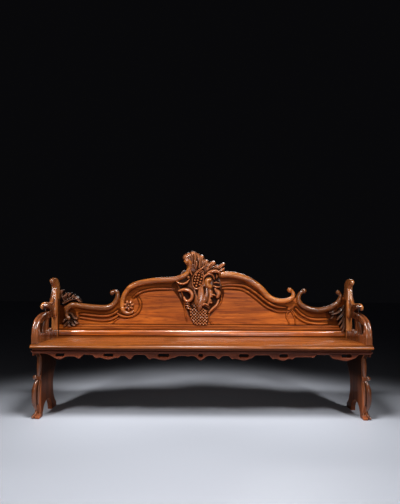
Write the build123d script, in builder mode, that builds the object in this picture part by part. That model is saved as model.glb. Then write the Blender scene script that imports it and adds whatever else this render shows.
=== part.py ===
"""Carved hall bench: plank supports, pierced apron, scroll arms and a tall back with a rolled, carved crest.

Millimetres. X runs along the seat, the front faces -Y and Z is up. The origin is on the floor under the middle.
"""
import os
from math import asin, atan2, cos, degrees, radians, sin

from build123d import *

# Seat
seat_length = 2030
seat_depth = 480
seat_height = 457
seat_thickness = 30
seat_nose_radius = 13
seat_end_radius = 4

# Tenons that hold the supports, the arms and the back in the seat
tenon_depth = 15
tenon_thickness = 14
support_tenon_width = 60
support_tenon_places = (-80, 90)
post_tenon_width = 44
scroll_tenon_width = 24
back_tenon_width = 60
back_tenon_places = (-720, -240, 240, 720)

# Plank supports
support_inset = 42
support_thickness = 28
bracket_depth = 27
shank_front = -142
shank_height = 356
knee_start = (-150, 262)
knee_crown = (-163, 241)
knee_end = (-148, 222)
shin_crown = (-172, 124)
ankle = (-160, 36)
ankle_hollow = (-168, 22)
toe_front = -187
toe_height = 15
arch_radius = 85
arch_centre = -40
heel_rear = 137
heel_height = 28
waist = (68, 150)
flare_start = (128, 280)
flare_hollow = (150, 348)

# Carved scrolls on the outer front of the supports
leg_scroll_thickness = 26
leg_scroll_eye = (-137, 236)
leg_scroll_eye_radius = 25
leg_scroll_rear = (-112, 110)

# Front apron: a scalloped board with pierced windows, placed along it by shares of half its length
apron_setback = 25
apron_thickness = 20
apron_band = 33
apron_lobes = (
    (-0.844, 170, 31), (-0.762, 100, 18), (-0.553, 130, 30), (-0.430, 56, 33), (-0.242, 190, 33),
    (-0.003, 84, 33), (0.100, 44, 30), (0.240, 132, 33), (0.464, 120, 32), (0.592, 120, 18), (0.835, 156, 31),
)
apron_tips = (
    (-0.721, 28), (-0.621, 27), (-0.496, 27), (-0.308, 34),
    (-0.082, 15), (0.179, 34), (0.533, 33), (0.659, 22),
)
apron_tip_width = 17
apron_windows = (
    (-0.832, 46), (-0.549, 50), (-0.224, 60), (-0.006, 20), (0.248, 50), (0.482, 46), (0.853, 54),
)
apron_window_height = 15
apron_window_drop = 36
apron_bead_drop = 16
apron_bead_radius = 5

# End aprons, rear rail and glue blocks
end_apron_thickness = 12
end_apron_front_height = 44
end_apron_middle_height = 30
rear_rail_thickness = 20
rear_rail_height = 40
rear_rail_setback = 22
glue_block_length = 90
glue_block_side = 28
front_block_places = (-680, -390, 400, 700)
rear_block_places = (-640, 0, 640)

# Back board, its foot rail and the stepped moulding; heights on the back and the arms are above the seat
back_setback = 3
back_thickness = 30
back_end_height = 183
foot_rail_height = 45
foot_rail_thickness = 16
foot_rail_round = 10
step_height = 18
step_thickness = 10
upper_step_thickness = 5

# Crest rolls, each a start, a heading and tangent arcs of a radius and a turn in degrees (left is positive).
# The long arc of the left outer roll and the bowl of the right one reach out to the arms. The board follows the
# last rise of the left inner roll through the crown turn.
left_outer_inset = 62
left_outer_height = 122
left_outer_heading = 136
left_outer_radii = (54, 960, 94, 20)
left_outer_curl_turn = -148
left_outer_rise_turns = (92, 150)
left_long_arc_end = 783
left_inner_start = (-542, 186)
left_inner_heading = 104
left_inner_radii = (146, 793, 264, 70)
left_inner_turns = (-90, -14, 26, 92)
left_crown_turn = 36
right_inner_start = (128, 424)
right_inner_heading = 6
right_inner_radii = (345, 142, 32)
right_inner_turns = (-57, 79, 140)
right_outer_start = (700, 316)
right_outer_heading = -163
right_curl_radius = 55
right_curl_turn = 128
right_bowl_inset = 60
right_bowl_turn = 73
right_rise_radii = (93, 28)
right_rise_turns = (37, 80)
outer_roll_radius = 17
inner_roll_radius = 18
roll_ball_radius = 20

# Beads below the rolls, each at a distance from the roll's middle line and over part of its arcs
outer_bead_distance = 46
lower_bead_distance = 71
panel_bead_distance = 74
bead_radius = 9
thin_bead_radius = 6
left_bead_skip = 3
left_bead_rise = 38
left_panel_bead_skip = 40
right_panel_bead_skip = 5
right_panel_bead_rise = 55
right_bead_inset = 122

# Rosette in the lower curl of the left inner roll
rosette_place = (-500, 211)
rosette_radius = 27
rosette_base_thickness = 6
rosette_petals = 8
rosette_petal_radius = 9
rosette_petal_circle = 17
rosette_eye_radius = 10
rosette_bead_distance = 77
rosette_bead_start = -124
rosette_bead_turn = 156

# Carved middle ornament
shield_thickness = 22
shield_left_top = (-150, 371)
shield_left_waist = (-116, 223)
shield_foot_left = (-58, 88)
shield_foot_right = (41, 88)
shield_right_waist = (104, 195)
shield_right_top = (137, 315)
shield_shoulder = (128, 423)
shield_crown_left = (-112, 423)
lattice_pitch = 17
lattice_bar_width = 5
lattice_relief = 4
lattice_centre = (-18, 139)
lattice_radius = 54
shield_rings = ((-103, 280, 28, 10), (75, 259, 21, 9), (22, 197, 15, 7), (-74, 207, 14, 7))
shield_leaf_top = (-20, 327)
shield_leaf_foot = (-8, 183)
shield_leaf_width = 66
crescent_start = (-176, 381)
crescent_sag = (-130, 360)
crescent_end = (-86, 393)
crescent_radius = 8
cabochon_place = (42, 365)
cabochon_height = 78
cabochon_width = 50
garland_top = (-34, 439)
garland_foot = (-36, 335)
garland_balls = 6
garland_ball_radius = 13
shell_root = (-20, 443)
shell_lobes = (
    ((-118, 549), 66, 52), ((-64, 593), 64, 46), ((-4, 565), 48, 50), ((42, 535), 46, 44),
    ((88, 517), 46, 48), ((155, 506), 32, 40), ((152, 467), 30, 44),
)
shell_setback = 10

# Carved leaves at the ends of the back, placed from the inner face of the arm, each finger a tip and a width
left_leaf_root = (83, 215)
left_leaf_tips = (((15, 317), 36), ((60, 307), 36), ((103, 287), 32), ((137, 249), 28))
left_spray_root = (93, 143)
left_spray_tips = (((35, 105), 26), ((63, 89), 24), ((101, 88), 22))
right_leaf_root = (103, 165)
right_leaf_tips = (((23, 207), 30), ((9, 159), 30), ((13, 115), 28), ((45, 91), 26))
crest_leaf_thickness = 40
leaf_relief = 18

# Arms: a post, a front scroll with a hook, a strut and a foot rail
arm_inset = 40
arm_thickness = 36
strut_thickness = 26
post_front = 150
post_rear = 235
post_height = 395
post_neck_height = 343
post_tip = (102, 375)
post_chin = (122, 359)
post_shoulder_height = 365
post_crown_middle = 180
scroll_front = -222
scroll_foot_rear = -172
scroll_front_height = 40
scroll_shoulder = (-196, 109)
scroll_top_front = (-126, 159)
scroll_top_middle = (-57, 173)
hook_notch = (22, 184)
hook_chin_middle = (-4, 200)
hook_chin = (-38, 207)
hook_tip = (-48, 219)
hook_brow = (-38, 231)
hook_top = (10, 233)
hook_rear = (73, 211)
bracket_middle = (118, 268)
bracket_top_height = 333
scroll_underside = 141
scroll_arch_start = -26
scroll_arch_middle = (-122, 117)
arm_rail_height = 52
strut_foot = (-54, -18)
strut_head = (-22, 14)

seat_front = -seat_depth / 2
seat_rear = seat_depth / 2
seat_underside = seat_height - seat_thickness
support_inner = seat_length / 2 - support_inset
support_outer = support_inner + support_thickness
arm_inner = seat_length / 2 - arm_inset
arm_middle = arm_inner + arm_thickness / 2
apron_front = seat_front + apron_setback
apron_rear = apron_front + apron_thickness
apron_foot = seat_underside - apron_band
apron_reach = support_outer + end_apron_thickness
rear_rail_rear = seat_rear - rear_rail_setback
rear_rail_front = rear_rail_rear - rear_rail_thickness
back_rear = seat_rear - back_setback
back_front = back_rear - back_thickness
back_middle = (back_front + back_rear) / 2
support_middle = support_inner + support_thickness / 2
shell_depth = back_thickness - shell_setback

sides = (("left", -1), ("right", 1))
back_face = Plane((0, back_front, seat_height), x_dir=(1, 0, 0), z_dir=(0, -1, 0))
shield_face = back_face.offset(shield_thickness)


def save(piece, name):
    """Label a finished piece and write it as its own file."""
    piece.label = name
    export_step(piece, f"parts/{name}.step")


def walk(start, heading, arcs):
    """Where a chain of tangent arcs ends, and its heading there."""
    x, z = start
    for radius, turn in arcs:
        signed = radius if turn > 0 else -radius
        x += signed * (sin(radians(heading + turn)) - sin(radians(heading)))
        z -= signed * (cos(radians(heading + turn)) - cos(radians(heading)))
        heading += turn
    return (x, z), heading


def draw_arcs(start, heading, arcs):
    """Draw a chain of tangent arcs and return its end."""
    for radius, turn in arcs:
        JernArc(start, (cos(radians(heading)), sin(radians(heading))), radius, turn)
        start, heading = walk(start, heading, [(radius, turn)])
    return start


def beside(start, heading, arcs, distance):
    """The same chain of arcs, moved to its right by a distance."""
    x = start[0] + distance * sin(radians(heading))
    z = start[1] - distance * cos(radians(heading))
    moved = [(radius + distance if turn > 0 else radius - distance, turn) for radius, turn in arcs]
    return (x, z), heading, moved


def petal(root, tip, width):
    """Outline of one leaf finger or shell lobe, from its root to its tip."""
    along = Vector(tip[0] - root[0], tip[1] - root[1])
    middle = ((root[0] + tip[0]) / 2, (root[1] + tip[1]) / 2)
    with Locations(Location(middle, degrees(atan2(along.Y, along.X)))):
        Ellipse(along.length / 2, width / 2)


def boss(root, tip, width):
    """Rounded boss on the face of the shield: a long ellipsoid from root to tip."""
    along = Vector(tip[0] - root[0], 0, tip[1] - root[1])
    middle = shield_face.from_local_coords(((root[0] + tip[0]) / 2, (root[1] + tip[1]) / 2, 0))
    half_turn = 180
    with BuildSketch(Plane(middle, x_dir=along, z_dir=(0, -1, 0))) as outline:
        with BuildLine():
            EllipticalCenterArc((0, 0), along.length / 2, width / 2, arc_size=half_turn)
            Line((-along.length / 2, 0), (along.length / 2, 0))
        make_face()
    revolve(outline.sketch, axis=Axis(middle, -along))


# Arcs of the crest rolls
left_outer_start = (left_outer_inset - arm_inner, left_outer_height)
left_long_turn = degrees((arm_inner - left_long_arc_end) / left_outer_radii[1])
left_outer_turns = (left_outer_curl_turn, left_long_turn, *left_outer_rise_turns)
left_outer_arcs = list(zip(left_outer_radii, left_outer_turns))
left_inner_arcs = list(zip(left_inner_radii, left_inner_turns))
right_inner_arcs = list(zip(right_inner_radii, right_inner_turns))
right_curl = (right_curl_radius, right_curl_turn)
bowl_start, bowl_heading = walk(right_outer_start, right_outer_heading, [right_curl])
bowl_width = arm_inner - right_bowl_inset - bowl_start[0]
bowl_radius = bowl_width / (sin(radians(bowl_heading + right_bowl_turn)) - sin(radians(bowl_heading)))
right_outer_radii = (right_curl_radius, bowl_radius, *right_rise_radii)
right_outer_turns = (right_curl_turn, right_bowl_turn, *right_rise_turns)
right_outer_arcs = list(zip(right_outer_radii, right_outer_turns))
rolls = {
    "left_outer_roll": (left_outer_start, left_outer_heading, left_outer_arcs, outer_roll_radius),
    "left_inner_roll": (left_inner_start, left_inner_heading, left_inner_arcs, inner_roll_radius),
    "right_inner_roll": (right_inner_start, right_inner_heading, right_inner_arcs, inner_roll_radius),
    "right_outer_roll": (right_outer_start, right_outer_heading, right_outer_arcs, outer_roll_radius),
}

os.makedirs("parts", exist_ok=True)

# Plank supports with tenons for the seat
supports = {}
for side_name, side in sides:
    with BuildPart() as support:
        with BuildSketch(Plane.YZ.offset(side * support_inner)):
            with BuildLine():
                Line((rear_rail_front, seat_underside), (apron_rear, seat_underside))
                Line((apron_rear, seat_underside), (apron_rear, seat_underside - bracket_depth))
                Line((apron_rear, seat_underside - bracket_depth), (shank_front, shank_height))
                Line((shank_front, shank_height), knee_start)
                ThreePointArc(knee_start, knee_crown, knee_end)
                ThreePointArc(knee_end, shin_crown, ankle)
                ThreePointArc(ankle, ankle_hollow, (toe_front, toe_height))
                Line((toe_front, toe_height), (toe_front, 0))
                Line((toe_front, 0), (arch_centre - arch_radius, 0))
                RadiusArc((arch_centre - arch_radius, 0), (arch_centre + arch_radius, 0), arch_radius)
                Line((arch_centre + arch_radius, 0), (heel_rear, 0))
                Line((heel_rear, 0), (heel_rear, heel_height))
                ThreePointArc((heel_rear, heel_height), waist, flare_start)
                ThreePointArc(flare_start, flare_hollow, (rear_rail_front, seat_underside - bracket_depth))
                Line((rear_rail_front, seat_underside - bracket_depth), (rear_rail_front, seat_underside))
            make_face()
        extrude(amount=side * support_thickness)
        for place in support_tenon_places:
            with Locations((side * support_middle, place, seat_underside)):
                Box(
                    tenon_thickness, support_tenon_width, tenon_depth,
                    align=(Align.CENTER, Align.CENTER, Align.MIN),
                )
    supports[side_name] = support.part
    save(support.part, f"{side_name}_support")

    with BuildPart() as leg_scroll:
        with BuildSketch(Plane.YZ.offset(side * support_outer)):
            with BuildLine():
                ThreePointArc(knee_end, shin_crown, ankle)
                ThreePointArc(ankle, ankle_hollow, (toe_front, toe_height))
                Line((toe_front, toe_height), (toe_front, 0))
                Line((toe_front, 0), (arch_centre - arch_radius, 0))
                ThreePointArc(
                    (arch_centre - arch_radius, 0),
                    leg_scroll_rear,
                    (leg_scroll_eye[0] + leg_scroll_eye_radius, leg_scroll_eye[1]),
                )
                Line((leg_scroll_eye[0] + leg_scroll_eye_radius, leg_scroll_eye[1]), knee_end)
            make_face()
            with Locations(leg_scroll_eye):
                Circle(leg_scroll_eye_radius)
        extrude(amount=side * leg_scroll_thickness)
    save(leg_scroll.part, f"{side_name}_leg_scroll")

# Front apron: band, lobes and tips in one outline, with the windows cut through
with BuildPart() as front_apron:
    with BuildSketch(Plane.XZ.offset(-apron_rear)):
        with Locations((0, apron_foot)):
            Rectangle(2 * apron_reach, apron_band, align=(Align.CENTER, Align.MIN))
        for share, width, drop in apron_lobes:
            with Locations((share * apron_reach, apron_foot)):
                Ellipse(width / 2, drop)
        for share, drop in apron_tips:
            with Locations((share * apron_reach, apron_foot - drop + apron_tip_width / 2)):
                Circle(apron_tip_width / 2)
                Rectangle(apron_tip_width, drop, align=(Align.CENTER, Align.MIN))
        for share, width in apron_windows:
            with Locations((share * apron_reach, seat_underside - apron_window_drop)):
                SlotOverall(width, apron_window_height, mode=Mode.SUBTRACT)
    extrude(amount=apron_thickness)
save(front_apron.part, "front_apron")

# Half-round bead along the top of the front apron
with BuildPart() as apron_bead:
    with BuildSketch(Plane.YZ):
        with Locations((apron_front, seat_underside - apron_bead_drop)):
            Circle(apron_bead_radius)
            Rectangle(
                apron_bead_radius, 2 * apron_bead_radius, align=(Align.MIN, Align.CENTER), mode=Mode.SUBTRACT
            )
    extrude(amount=apron_reach, both=True)
save(apron_bead.part, "apron_bead")

# End aprons outside the supports, hollowed along the lower edge
for side_name, side in sides:
    with BuildPart() as end_apron:
        with BuildSketch(Plane.YZ.offset(side * support_outer)):
            with BuildLine():
                Polyline(
                    (apron_rear, seat_underside - end_apron_front_height),
                    (apron_rear, seat_underside),
                    (rear_rail_rear, seat_underside),
                    (rear_rail_rear, seat_underside - end_apron_front_height),
                )
                ThreePointArc(
                    (rear_rail_rear, seat_underside - end_apron_front_height),
                    ((apron_rear + rear_rail_rear) / 2, seat_underside - end_apron_middle_height),
                    (apron_rear, seat_underside - end_apron_front_height),
                )
            make_face()
        extrude(amount=side * end_apron_thickness)
    save(end_apron.part, f"{side_name}_end_apron")

# Rear rail across the supports, and the blocks glued into the corners under the seat
with BuildPart() as rear_rail:
    with Locations((0, rear_rail_front, seat_underside)):
        Box(
            2 * support_outer, rear_rail_thickness, rear_rail_height,
            align=(Align.CENTER, Align.MIN, Align.MAX),
        )
save(rear_rail.part, "rear_rail")

with BuildPart() as glue_blocks:
    with Locations(*[(place, apron_rear, seat_underside) for place in front_block_places]):
        Box(glue_block_length, glue_block_side, glue_block_side, align=(Align.CENTER, Align.MIN, Align.MAX))
    with Locations(*[(place, rear_rail_front, seat_underside) for place in rear_block_places]):
        Box(glue_block_length, glue_block_side, glue_block_side, align=(Align.CENTER, Align.MAX, Align.MAX))
save(glue_blocks.part, "glue_blocks")

# Crest rolls with a ball in each curl
roll_parts = {}
for roll_name, (start, heading, arcs, radius) in rolls.items():
    with BuildPart() as roll:
        with BuildLine(back_face) as path:
            draw_arcs(start, heading, arcs)
        with BuildSketch(path.line ^ 0):
            Circle(radius)
        sweep()
        for roll_end in (path.line ^ 0, path.line ^ 1):
            with Locations(roll_end):
                Sphere(roll_ball_radius)
    roll_parts[roll_name] = roll.part
    save(roll.part, roll_name)

# Back board: its top edge follows the middle lines of the rolls, which lie in it by half
with BuildPart() as back_board:
    with BuildSketch(back_face):
        with BuildLine():
            left_start, left_heading = walk(left_outer_start, left_outer_heading, left_outer_arcs[:1])
            left_rise = (left_outer_arcs[2][0], left_outer_arcs[2][1] / 2)
            left_end = draw_arcs(left_start, left_heading, [left_outer_arcs[1], left_rise])
            crown_rise = (left_inner_radii[-1], left_crown_turn)
            inner_end = draw_arcs(left_inner_start, left_inner_heading, [*left_inner_arcs[:3], crown_rise])
            right_end = draw_arcs(right_inner_start, right_inner_heading, right_inner_arcs[:2])
            half_curl = (right_outer_arcs[0][0], right_outer_arcs[0][1] / 2)
            drop_start, drop_heading = walk(right_outer_start, right_outer_heading, [half_curl])
            outer_end = draw_arcs(drop_start, drop_heading, [half_curl, *right_outer_arcs[1:3]])
            Line(left_end, left_inner_start)
            Polyline(inner_end, (right_inner_start[0], inner_end[1]), right_inner_start)
            Line(right_end, drop_start)
            Polyline(
                outer_end,
                (arm_inner, outer_end[1]),
                (arm_inner, 0),
                (-arm_inner, 0),
                (-arm_inner, back_end_height),
                left_start,
            )
        make_face()
    extrude(amount=-back_thickness)
    with Locations(*[(place, back_middle, seat_height) for place in back_tenon_places]):
        Box(back_tenon_width, tenon_thickness, tenon_depth, align=(Align.CENTER, Align.CENTER, Align.MAX))
    for roll_part in roll_parts.values():
        add(roll_part, mode=Mode.SUBTRACT)
save(back_board.part, "back_board")

# Foot rail of the back, and the stepped moulding that stands on it
with BuildPart() as back_foot_rail:
    with Locations((0, back_front, seat_height)):
        Box(2 * arm_inner, foot_rail_thickness, foot_rail_height, align=(Align.CENTER, Align.MAX, Align.MIN))
    fillet(back_foot_rail.faces().sort_by(Axis.Y)[0].edges().sort_by(Axis.Z)[-1], foot_rail_round)
save(back_foot_rail.part, "back_foot_rail")

with BuildPart() as back_step_moulding:
    with BuildSketch(Plane.YZ):
        with Locations((back_front, seat_height + foot_rail_height)):
            Rectangle(step_thickness, step_height, align=(Align.MAX, Align.MIN))
        with Locations((back_front, seat_height + foot_rail_height + step_height)):
            Rectangle(upper_step_thickness, step_height, align=(Align.MAX, Align.MIN))
    extrude(amount=arm_inner, both=True)
save(back_step_moulding.part, "back_step_moulding")

# Beads on the face of the back: half tubes that run beside the rolls
left_main, left_main_heading = walk(left_outer_start, left_outer_heading, left_outer_arcs[:1])
left_long, left_rise = left_outer_arcs[1:3]
left_skip = [(left_long[0], left_bead_skip)]
left_bead_arcs = [(left_long[0], left_long[1] - left_bead_skip), (left_rise[0], left_bead_rise)]
left_bead_path = (*walk(left_main, left_main_heading, left_skip), left_bead_arcs)

inner_curve = left_inner_arcs[0]
inner_skip = [(inner_curve[0], -left_panel_bead_skip)]
inner_rest = [(inner_curve[0], inner_curve[1] + left_panel_bead_skip), left_inner_arcs[1]]
left_panel_path = (*walk(left_inner_start, left_inner_heading, inner_skip), inner_rest)

brow, sweep_up = right_inner_arcs[:2]
brow_skip = [(brow[0], -right_panel_bead_skip)]
brow_rest = [(brow[0], brow[1] + right_panel_bead_skip), (sweep_up[0], right_panel_bead_rise)]
right_panel_path = (*walk(right_inner_start, right_inner_heading, brow_skip), brow_rest)



def right_bead(distance):
    """The bead below the right outer roll, which ends before the corner leaf."""
    start, heading, arcs = beside(bowl_start, bowl_heading, right_outer_arcs[1:2], distance)
    radius = arcs[0][0]
    reach = arm_inner - right_bead_inset - start[0]
    end_heading = degrees(asin(sin(radians(heading)) + reach / radius))
    return start, heading, [(radius, end_heading - heading)]


rosette_path = (
    (
        rosette_place[0] + rosette_bead_distance * cos(radians(rosette_bead_start)),
        rosette_place[1] + rosette_bead_distance * sin(radians(rosette_bead_start)),
    ),
    rosette_bead_start + 90,
    [(rosette_bead_distance, rosette_bead_turn)],
)
beads = {
    "left_outer_bead": (beside(*left_bead_path, outer_bead_distance), bead_radius),
    "left_lower_bead": (beside(*left_bead_path, lower_bead_distance), thin_bead_radius),
    "left_panel_bead": (beside(*left_panel_path, panel_bead_distance), thin_bead_radius),
    "right_panel_bead": (beside(*right_panel_path, panel_bead_distance), thin_bead_radius),
    "right_outer_bead": (right_bead(outer_bead_distance), bead_radius),
    "right_lower_bead": (right_bead(lower_bead_distance), thin_bead_radius),
    "rosette_bead": (rosette_path, thin_bead_radius),
}
for bead_name, (bead_path, radius) in beads.items():
    with BuildPart() as bead:
        with BuildLine(back_face) as path:
            draw_arcs(*bead_path)
        with BuildSketch(path.line ^ 0):
            Circle(radius)
        sweep()
        split(bisect_by=back_face)
    save(bead.part, bead_name)

# Rosette: a ring of round petals about an eye, on a thin disc
with BuildPart() as rosette:
    with BuildSketch(back_face):
        with Locations(rosette_place):
            Circle(rosette_radius)
    extrude(amount=rosette_base_thickness)
    rosette_face = back_face.offset(rosette_base_thickness)
    with Locations(rosette_face):
        with Locations(rosette_place):
            Sphere(rosette_eye_radius)
            with PolarLocations(rosette_petal_circle, rosette_petals):
                Sphere(rosette_petal_radius)
    split(bisect_by=back_face)
save(rosette.part, "rosette")

# Carved shield in the middle of the back: ground, lattice, leaf, ring scrolls and crescent
with BuildPart() as cartouche_shield:
    with BuildSketch(back_face):
        with BuildLine():
            ThreePointArc(shield_left_top, shield_left_waist, shield_foot_left)
            Line(shield_foot_left, shield_foot_right)
            ThreePointArc(shield_foot_right, shield_right_waist, shield_right_top)
            Polyline(shield_right_top, shield_shoulder, shield_crown_left, shield_left_top)
        make_face()
    extrude(amount=shield_thickness)
    with BuildSketch(shield_face):
        for slope in (45, -45):
            with Locations(Location(lattice_centre, slope)):
                with GridLocations(0, lattice_pitch, 1, int(2 * lattice_radius / lattice_pitch) + 1):
                    Rectangle(2 * lattice_radius, lattice_bar_width)
        with Locations(lattice_centre):
            Circle(lattice_radius, mode=Mode.INTERSECT)
    extrude(amount=lattice_relief)
    for x, z, ring_radius, rim_radius in shield_rings:
        with Locations(shield_face):
            with Locations((x, z)):
                Torus(ring_radius, rim_radius)
    boss(shield_leaf_foot, shield_leaf_top, shield_leaf_width)
    with BuildLine(shield_face) as path:
        ThreePointArc(crescent_start, crescent_sag, crescent_end)
    with BuildSketch(path.line ^ 0):
        Circle(crescent_radius)
    sweep()
    for number in range(garland_balls):
        share = number / (garland_balls - 1)
        x = garland_top[0] + share * (garland_foot[0] - garland_top[0])
        z = garland_top[1] + share * (garland_foot[1] - garland_top[1])
        with Locations(shield_face):
            with Locations((x, z)):
                Sphere(garland_ball_radius)
    for roll_part in roll_parts.values():
        add(roll_part, mode=Mode.SUBTRACT)
    split(bisect_by=back_face)
save(cartouche_shield.part, "cartouche_shield")

# Round polished boss on the shield
with BuildPart() as cartouche_cabochon:
    x, z = cabochon_place
    boss((x, z - cabochon_height / 2), (x, z + cabochon_height / 2), cabochon_width)
    split(bisect_by=shield_face)
save(cartouche_cabochon.part, "cartouche_cabochon")

# Shell that crowns the crest, in lobes of different relief, lapped over the top of the back
with BuildPart() as cartouche_shell:
    for tip, width, relief in shell_lobes:
        with BuildSketch(back_face.offset(-shell_depth)):
            petal(shell_root, tip, width)
        extrude(amount=relief)
    for neighbour in [back_board.part, cartouche_shield.part, *roll_parts.values()]:
        add(neighbour, mode=Mode.SUBTRACT)
save(cartouche_shell.part, "cartouche_shell")

# Carved leaves at the ends of the back: one crowns the left roll, the others lie on the board
leaf_fans = {
    "left_corner_leaf": (-1, left_leaf_root, left_leaf_tips, shell_depth, crest_leaf_thickness),
    "left_spray": (-1, left_spray_root, left_spray_tips, 0, leaf_relief),
    "right_corner_leaf": (1, right_leaf_root, right_leaf_tips, 0, leaf_relief),
}
for leaf_name, (side, root, tips, depth, thickness) in leaf_fans.items():
    root_place = (side * (arm_inner - root[0]), root[1])
    with BuildPart() as leaf:
        with BuildSketch(back_face.offset(-depth)):
            for tip, width in tips:
                petal(root_place, (side * (arm_inner - tip[0]), tip[1]), width)
        extrude(amount=thickness)
        for neighbour in [back_board.part, *roll_parts.values()]:
            add(neighbour, mode=Mode.SUBTRACT)
    save(leaf.part, leaf_name)

# Arms: post, front scroll with its hook, strut and foot rail
arm_feet = []
for side_name, side in sides:
    arm_face = Plane((side * arm_inner, 0, seat_height), x_dir=(0, 1, 0), z_dir=(1, 0, 0))
    with BuildPart() as arm_post:
        with BuildSketch(arm_face):
            with BuildLine():
                Line((post_front, 0), (post_front, post_neck_height))
                Line((post_front, post_neck_height), post_chin)
                ThreePointArc(post_chin, post_tip, (post_chin[0], 2 * post_tip[1] - post_chin[1]))
                ThreePointArc(
                    (post_chin[0], 2 * post_tip[1] - post_chin[1]),
                    (post_crown_middle, post_height),
                    (post_rear, post_shoulder_height),
                )
                Polyline((post_rear, post_shoulder_height), (post_rear, 0), (post_front, 0))
            make_face()
        extrude(amount=side * arm_thickness)
        with Locations((side * arm_middle, (post_front + post_rear) / 2, seat_height)):
            Box(tenon_thickness, post_tenon_width, tenon_depth, align=(Align.CENTER, Align.CENTER, Align.MAX))
    arm_feet.append(arm_post.part)
    save(arm_post.part, f"{side_name}_arm_post")

    with BuildPart() as arm_scroll:
        with BuildSketch(arm_face):
            with BuildLine():
                Line((scroll_front, 0), (scroll_front, scroll_front_height))
                ThreePointArc((scroll_front, scroll_front_height), scroll_shoulder, scroll_top_front)
                ThreePointArc(scroll_top_front, scroll_top_middle, hook_notch)
                ThreePointArc(hook_notch, hook_chin_middle, hook_chin)
                ThreePointArc(hook_chin, hook_tip, hook_brow)
                ThreePointArc(hook_brow, hook_top, hook_rear)
                ThreePointArc(hook_rear, bracket_middle, (post_front, bracket_top_height))
                Line((post_front, bracket_top_height), (post_front, scroll_underside))
                Line((post_front, scroll_underside), (scroll_arch_start, scroll_underside))
                ThreePointArc(
                    (scroll_arch_start, scroll_underside),
                    scroll_arch_middle,
                    (scroll_foot_rear, arm_rail_height),
                )
                Line((scroll_foot_rear, arm_rail_height), (scroll_foot_rear, 0))
                Line((scroll_foot_rear, 0), (scroll_front, 0))
            make_face()
        extrude(amount=side * arm_thickness)
        with Locations((side * arm_middle, (scroll_front + scroll_foot_rear) / 2, seat_height)):
            Box(
                tenon_thickness, scroll_tenon_width, tenon_depth,
                align=(Align.CENTER, Align.CENTER, Align.MAX),
            )
    arm_feet.append(arm_scroll.part)
    save(arm_scroll.part, f"{side_name}_arm_scroll")

    with BuildPart() as arm_rail:
        with Locations((side * arm_middle, scroll_foot_rear, seat_height)):
            Box(
                arm_thickness, post_front - scroll_foot_rear, arm_rail_height,
                align=(Align.CENTER, Align.MIN, Align.MIN),
            )
    save(arm_rail.part, f"{side_name}_arm_rail")

    with BuildPart() as arm_strut:
        with BuildSketch(arm_face.offset(side * arm_thickness / 2)):
            with BuildLine():
                Polyline(
                    (strut_foot[0], arm_rail_height),
                    (strut_foot[1], arm_rail_height),
                    (strut_head[1], scroll_underside),
                    (strut_head[0], scroll_underside),
                    close=True,
                )
            make_face()
        extrude(amount=strut_thickness / 2, both=True)
    save(arm_strut.part, f"{side_name}_arm_strut")

# Seat board: rounded along the front and eased at the ends, with a mortise for every tenon
with BuildPart() as seat_board:
    with Locations((0, 0, seat_underside)):
        Box(seat_length, seat_depth, seat_thickness, align=(Align.CENTER, Align.CENTER, Align.MIN))
    fillet(seat_board.faces().sort_by(Axis.Y)[0].edges().filter_by(Axis.X), seat_nose_radius)
    fillet(seat_board.faces().sort_by(Axis.X)[0].edges(), seat_end_radius)
    fillet(seat_board.faces().sort_by(Axis.X)[-1].edges(), seat_end_radius)
    for tenoned in [*supports.values(), *arm_feet, back_board.part]:
        add(tenoned, mode=Mode.SUBTRACT)
save(seat_board.part, "seat_board")
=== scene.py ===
import math

import bmesh
import bpy
import numpy as np
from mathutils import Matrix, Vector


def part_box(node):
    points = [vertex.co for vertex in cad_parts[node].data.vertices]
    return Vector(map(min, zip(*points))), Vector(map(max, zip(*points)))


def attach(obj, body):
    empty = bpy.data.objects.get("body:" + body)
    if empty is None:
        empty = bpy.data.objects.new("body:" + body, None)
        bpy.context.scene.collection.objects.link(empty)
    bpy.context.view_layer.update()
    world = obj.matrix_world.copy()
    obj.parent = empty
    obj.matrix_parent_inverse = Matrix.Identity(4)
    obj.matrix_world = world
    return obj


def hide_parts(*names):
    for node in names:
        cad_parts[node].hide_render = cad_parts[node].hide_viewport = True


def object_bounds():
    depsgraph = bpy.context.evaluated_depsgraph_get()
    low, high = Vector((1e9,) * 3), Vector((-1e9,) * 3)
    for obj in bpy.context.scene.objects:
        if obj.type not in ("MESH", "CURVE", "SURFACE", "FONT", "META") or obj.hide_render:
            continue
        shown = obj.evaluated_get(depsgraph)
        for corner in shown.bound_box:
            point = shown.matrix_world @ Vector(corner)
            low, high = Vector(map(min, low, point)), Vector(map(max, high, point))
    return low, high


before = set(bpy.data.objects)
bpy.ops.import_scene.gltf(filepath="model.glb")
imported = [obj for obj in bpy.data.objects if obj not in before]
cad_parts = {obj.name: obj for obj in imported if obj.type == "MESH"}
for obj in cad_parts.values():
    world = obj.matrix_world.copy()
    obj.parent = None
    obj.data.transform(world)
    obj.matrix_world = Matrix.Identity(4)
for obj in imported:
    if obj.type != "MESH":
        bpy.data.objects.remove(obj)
cad_low, cad_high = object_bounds()

# Plank supports
# Two sawn boards stand crosswise under the seat ends, each with an arch cut between its front and rear foot.
# They are old oak, waxed dark, rubbed round at every edge and tenoned into the seat; their upper part is
# painted darker as the shade under the seat.
support_colours = ((0.40, 0.104, 0.031), (0.20, 0.048, 0.014), (0.062, 0.015, 0.005))
MM = 0.001
sides = (("left", -1), ("right", 1))
lengthwise, upright = 0, 2
shade_from, shade_run = 180, 100


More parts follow.
